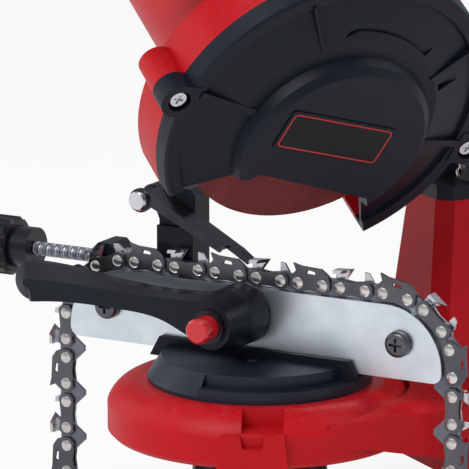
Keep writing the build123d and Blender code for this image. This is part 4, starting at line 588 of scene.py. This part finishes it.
markAngles = [math.radians(angle)
              for angle in range(scaleMarks["from"], scaleMarks["to"] + 1, scaleMarks["every"])]
markSpots = [(scaleMarks["ring"] * math.cos(angle), scaleMarks["ring"] * math.sin(angle), 0)
             for angle in markAngles]
scaleLines = grow("scaleLines", markTree(), scaleMarks, markSpots,
                  viseFrame @ Matrix.Translation((0, 0, scaleMarks["ledge"])))
settle(scaleLines, "turntable_vise", "black_moulding")
print("scale marks:", len(markSpots))

# thin border on the bare label
border = {"x": 20.1 * mm, "y": 0.5 * mm, "z": 1.0 * mm, "Width": 47.6 * mm, "Height": 15.6 * mm,
          "Line": 0.35 * mm, "Corner": 1.6 * mm, "Flat": 0.25}


def borderTree():
    tree, given, leave = newTree("labelBorder", border)
    outline = addNode(tree, "GeometryNodeCurvePrimitiveQuadrilateral", Width=given["Width"],
                      Height=given["Height"])["Curve"]
    rounded = addNode(tree, "GeometryNodeFilletCurve", {"mode": "POLY"}, Curve=outline, Count=6,
                      Radius=given["Corner"])["Curve"]
    section = addNode(tree, "GeometryNodeCurvePrimitiveCircle", Resolution=6, Radius=given["Line"])["Curve"]
    line = swept(tree, rounded, section)
    pressed = addNode(tree, "ShaderNodeCombineXYZ", X=1.0, Y=1.0, Z=given["Flat"])["Vector"]
    flat = addNode(tree, "GeometryNodeTransform", Geometry=line, Scale=pressed)["Geometry"]
    endTree(tree, onPoints(tree, given["Geometry"], flat), "labelRed", leave)
    return tree


# turns a flat figure to lie on the guard's face
facing = Matrix(((0, 0, 1, 0), (1, 0, 0, 0), (0, 1, 0, 0), (0, 0, 0, 1)))
labelBorder = grow("labelBorder", borderTree(), border, [(0, 0, 0)],
                   headFrame @ Matrix.Translation((border["x"], border["y"], border["z"])) @ facing)
settle(labelBorder, "head", "red_trim")
print("label bordered")

# return spring: closed coil between the bracket and the arm
coil = {"Radius": 4.15 * mm, "Wire": 0.62 * mm, "Height": 29.5 * mm, "Turns": 6.5, "steps": 28,
        "wireSides": 10, "x": 4.0 * mm, "ahead": -11.5 * mm, "seat": -43.35 * mm, "squashed": 0.88}


def coilTree():
    tree, given, leave = newTree("returnCoil", coil)
    wire = wound(tree, coil["steps"], given["Turns"], given["Radius"], given["Height"], coil["wireSides"],
                 given["Wire"])
    endTree(tree, wire, "boltSteel", leave)
    return tree


springPlace = hingeFrame @ Matrix.Translation((coil["x"], coil["ahead"], coil["seat"]))
returnCoil = grow("returnCoil", coilTree(), coil, [(0, 0, 0)], springPlace)
smoothEdges(returnCoil, 60)
settle(returnCoil, "frame", "bright_steel", "return_spring")
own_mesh(returnCoil)
print("return spring wound")


# floor and light
floorSet = {"size": 6.0, "drop": 2.0 * mm, "colour": (0.88, 0.88, 0.88, 1), "roughness": 0.8,
            "seenWhite": 0.86}
roomSet = {"colour": (0.92, 0.95, 1.0, 1), "strength": 0.38}
lamps = {
    "keySoft": {"place": (0.5, -1.3, 1.5), "aim": (0, -0.08, 0.12), "size": 1.2, "power": 24},
    "fillLeft": {"place": (-1.3, -1.2, 0.7), "aim": (0, -0.1, 0.1), "size": 1.4, "power": 6},
    "rimBack": {"place": (0.4, 1.3, 1.1), "aim": (0, 0, 0.15), "size": 1.0, "power": 10},
}


def placeFloor():
    low = cadBox[0][2] - floorSet["drop"]
    half = floorSet["size"]
    mesh = bpy.data.meshes.new("floor")
    corners = [(-half, -half, low), (half, -half, low), (half, half, low), (-half, half, low)]
    mesh.from_pydata(corners, [], [(0, 1, 2, 3)])
    floor = bpy.data.objects.new("floor", mesh)
    scene.collection.objects.link(floor)
    material = bpy.data.materials.new("paleFloor")
    material.use_nodes = True
    tree = material.node_tree
    shader = tree.nodes["Principled BSDF"]
    shader.inputs["Base Color"].default_value = floorSet["colour"]
    shader.inputs["Roughness"].default_value = floorSet["roughness"]
    white = tree.nodes.new("ShaderNodeEmission")
    white.inputs["Color"].default_value = (1, 1, 1, 1)
    path = tree.nodes.new("ShaderNodeLightPath")
    share = tree.nodes.new("ShaderNodeMath")
    share.operation = "MULTIPLY"
    share.inputs[1].default_value = floorSet["seenWhite"]
    tree.links.new(path.outputs["Is Camera Ray"], share.inputs[0])
    mix = tree.nodes.new("ShaderNodeMixShader")
    tree.links.new(share.outputs[0], mix.inputs[0])
    tree.links.new(shader.outputs[0], mix.inputs[1])
    tree.links.new(white.outputs[0], mix.inputs[2])
    tree.links.new(mix.outputs[0], tree.nodes["Material Output"].inputs["Surface"])
    mesh.materials.append(material)


def placeWorld():
    world = bpy.data.worlds.new("studio")
    scene.world = world
    world.use_nodes = True
    tree = world.node_tree
    room = tree.nodes["Background"]
    room.inputs["Color"].default_value = roomSet["colour"]
    room.inputs["Strength"].default_value = roomSet["strength"]
    backdrop = tree.nodes.new("ShaderNodeBackground")
    backdrop.inputs["Color"].default_value = (1, 1, 1, 1)
    backdrop.inputs["Strength"].default_value = 1.0
    path = tree.nodes.new("ShaderNodeLightPath")
    seen = tree.nodes.new("ShaderNodeMath")
    seen.operation = "MAXIMUM"
    tree.links.new(path.outputs["Is Camera Ray"], seen.inputs[0])
    tree.links.new(path.outputs["Is Transmission Ray"], seen.inputs[1])
    mix = tree.nodes.new("ShaderNodeMixShader")
    tree.links.new(seen.outputs[0], mix.inputs[0])
    tree.links.new(room.outputs[0], mix.inputs[1])
    tree.links.new(backdrop.outputs[0], mix.inputs[2])
    tree.links.new(mix.outputs[0], tree.nodes["World Output"].inputs["Surface"])


def placeLamps():
    for name, settings in lamps.items():
        data = bpy.data.lights.new(name, "AREA")
        data.size = settings["size"]
        data.energy = settings["power"]
        lamp = bpy.data.objects.new(name, data)
        lamp.location = settings["place"]
        aim = Vector(settings["aim"]) - Vector(settings["place"])
        lamp.rotation_euler = aim.to_track_quat("-Z", "Y").to_euler()
        scene.collection.objects.link(lamp)


placeFloor()
placeWorld()
placeLamps()
scene.view_settings.view_transform = "Standard"
print("floor and light set")
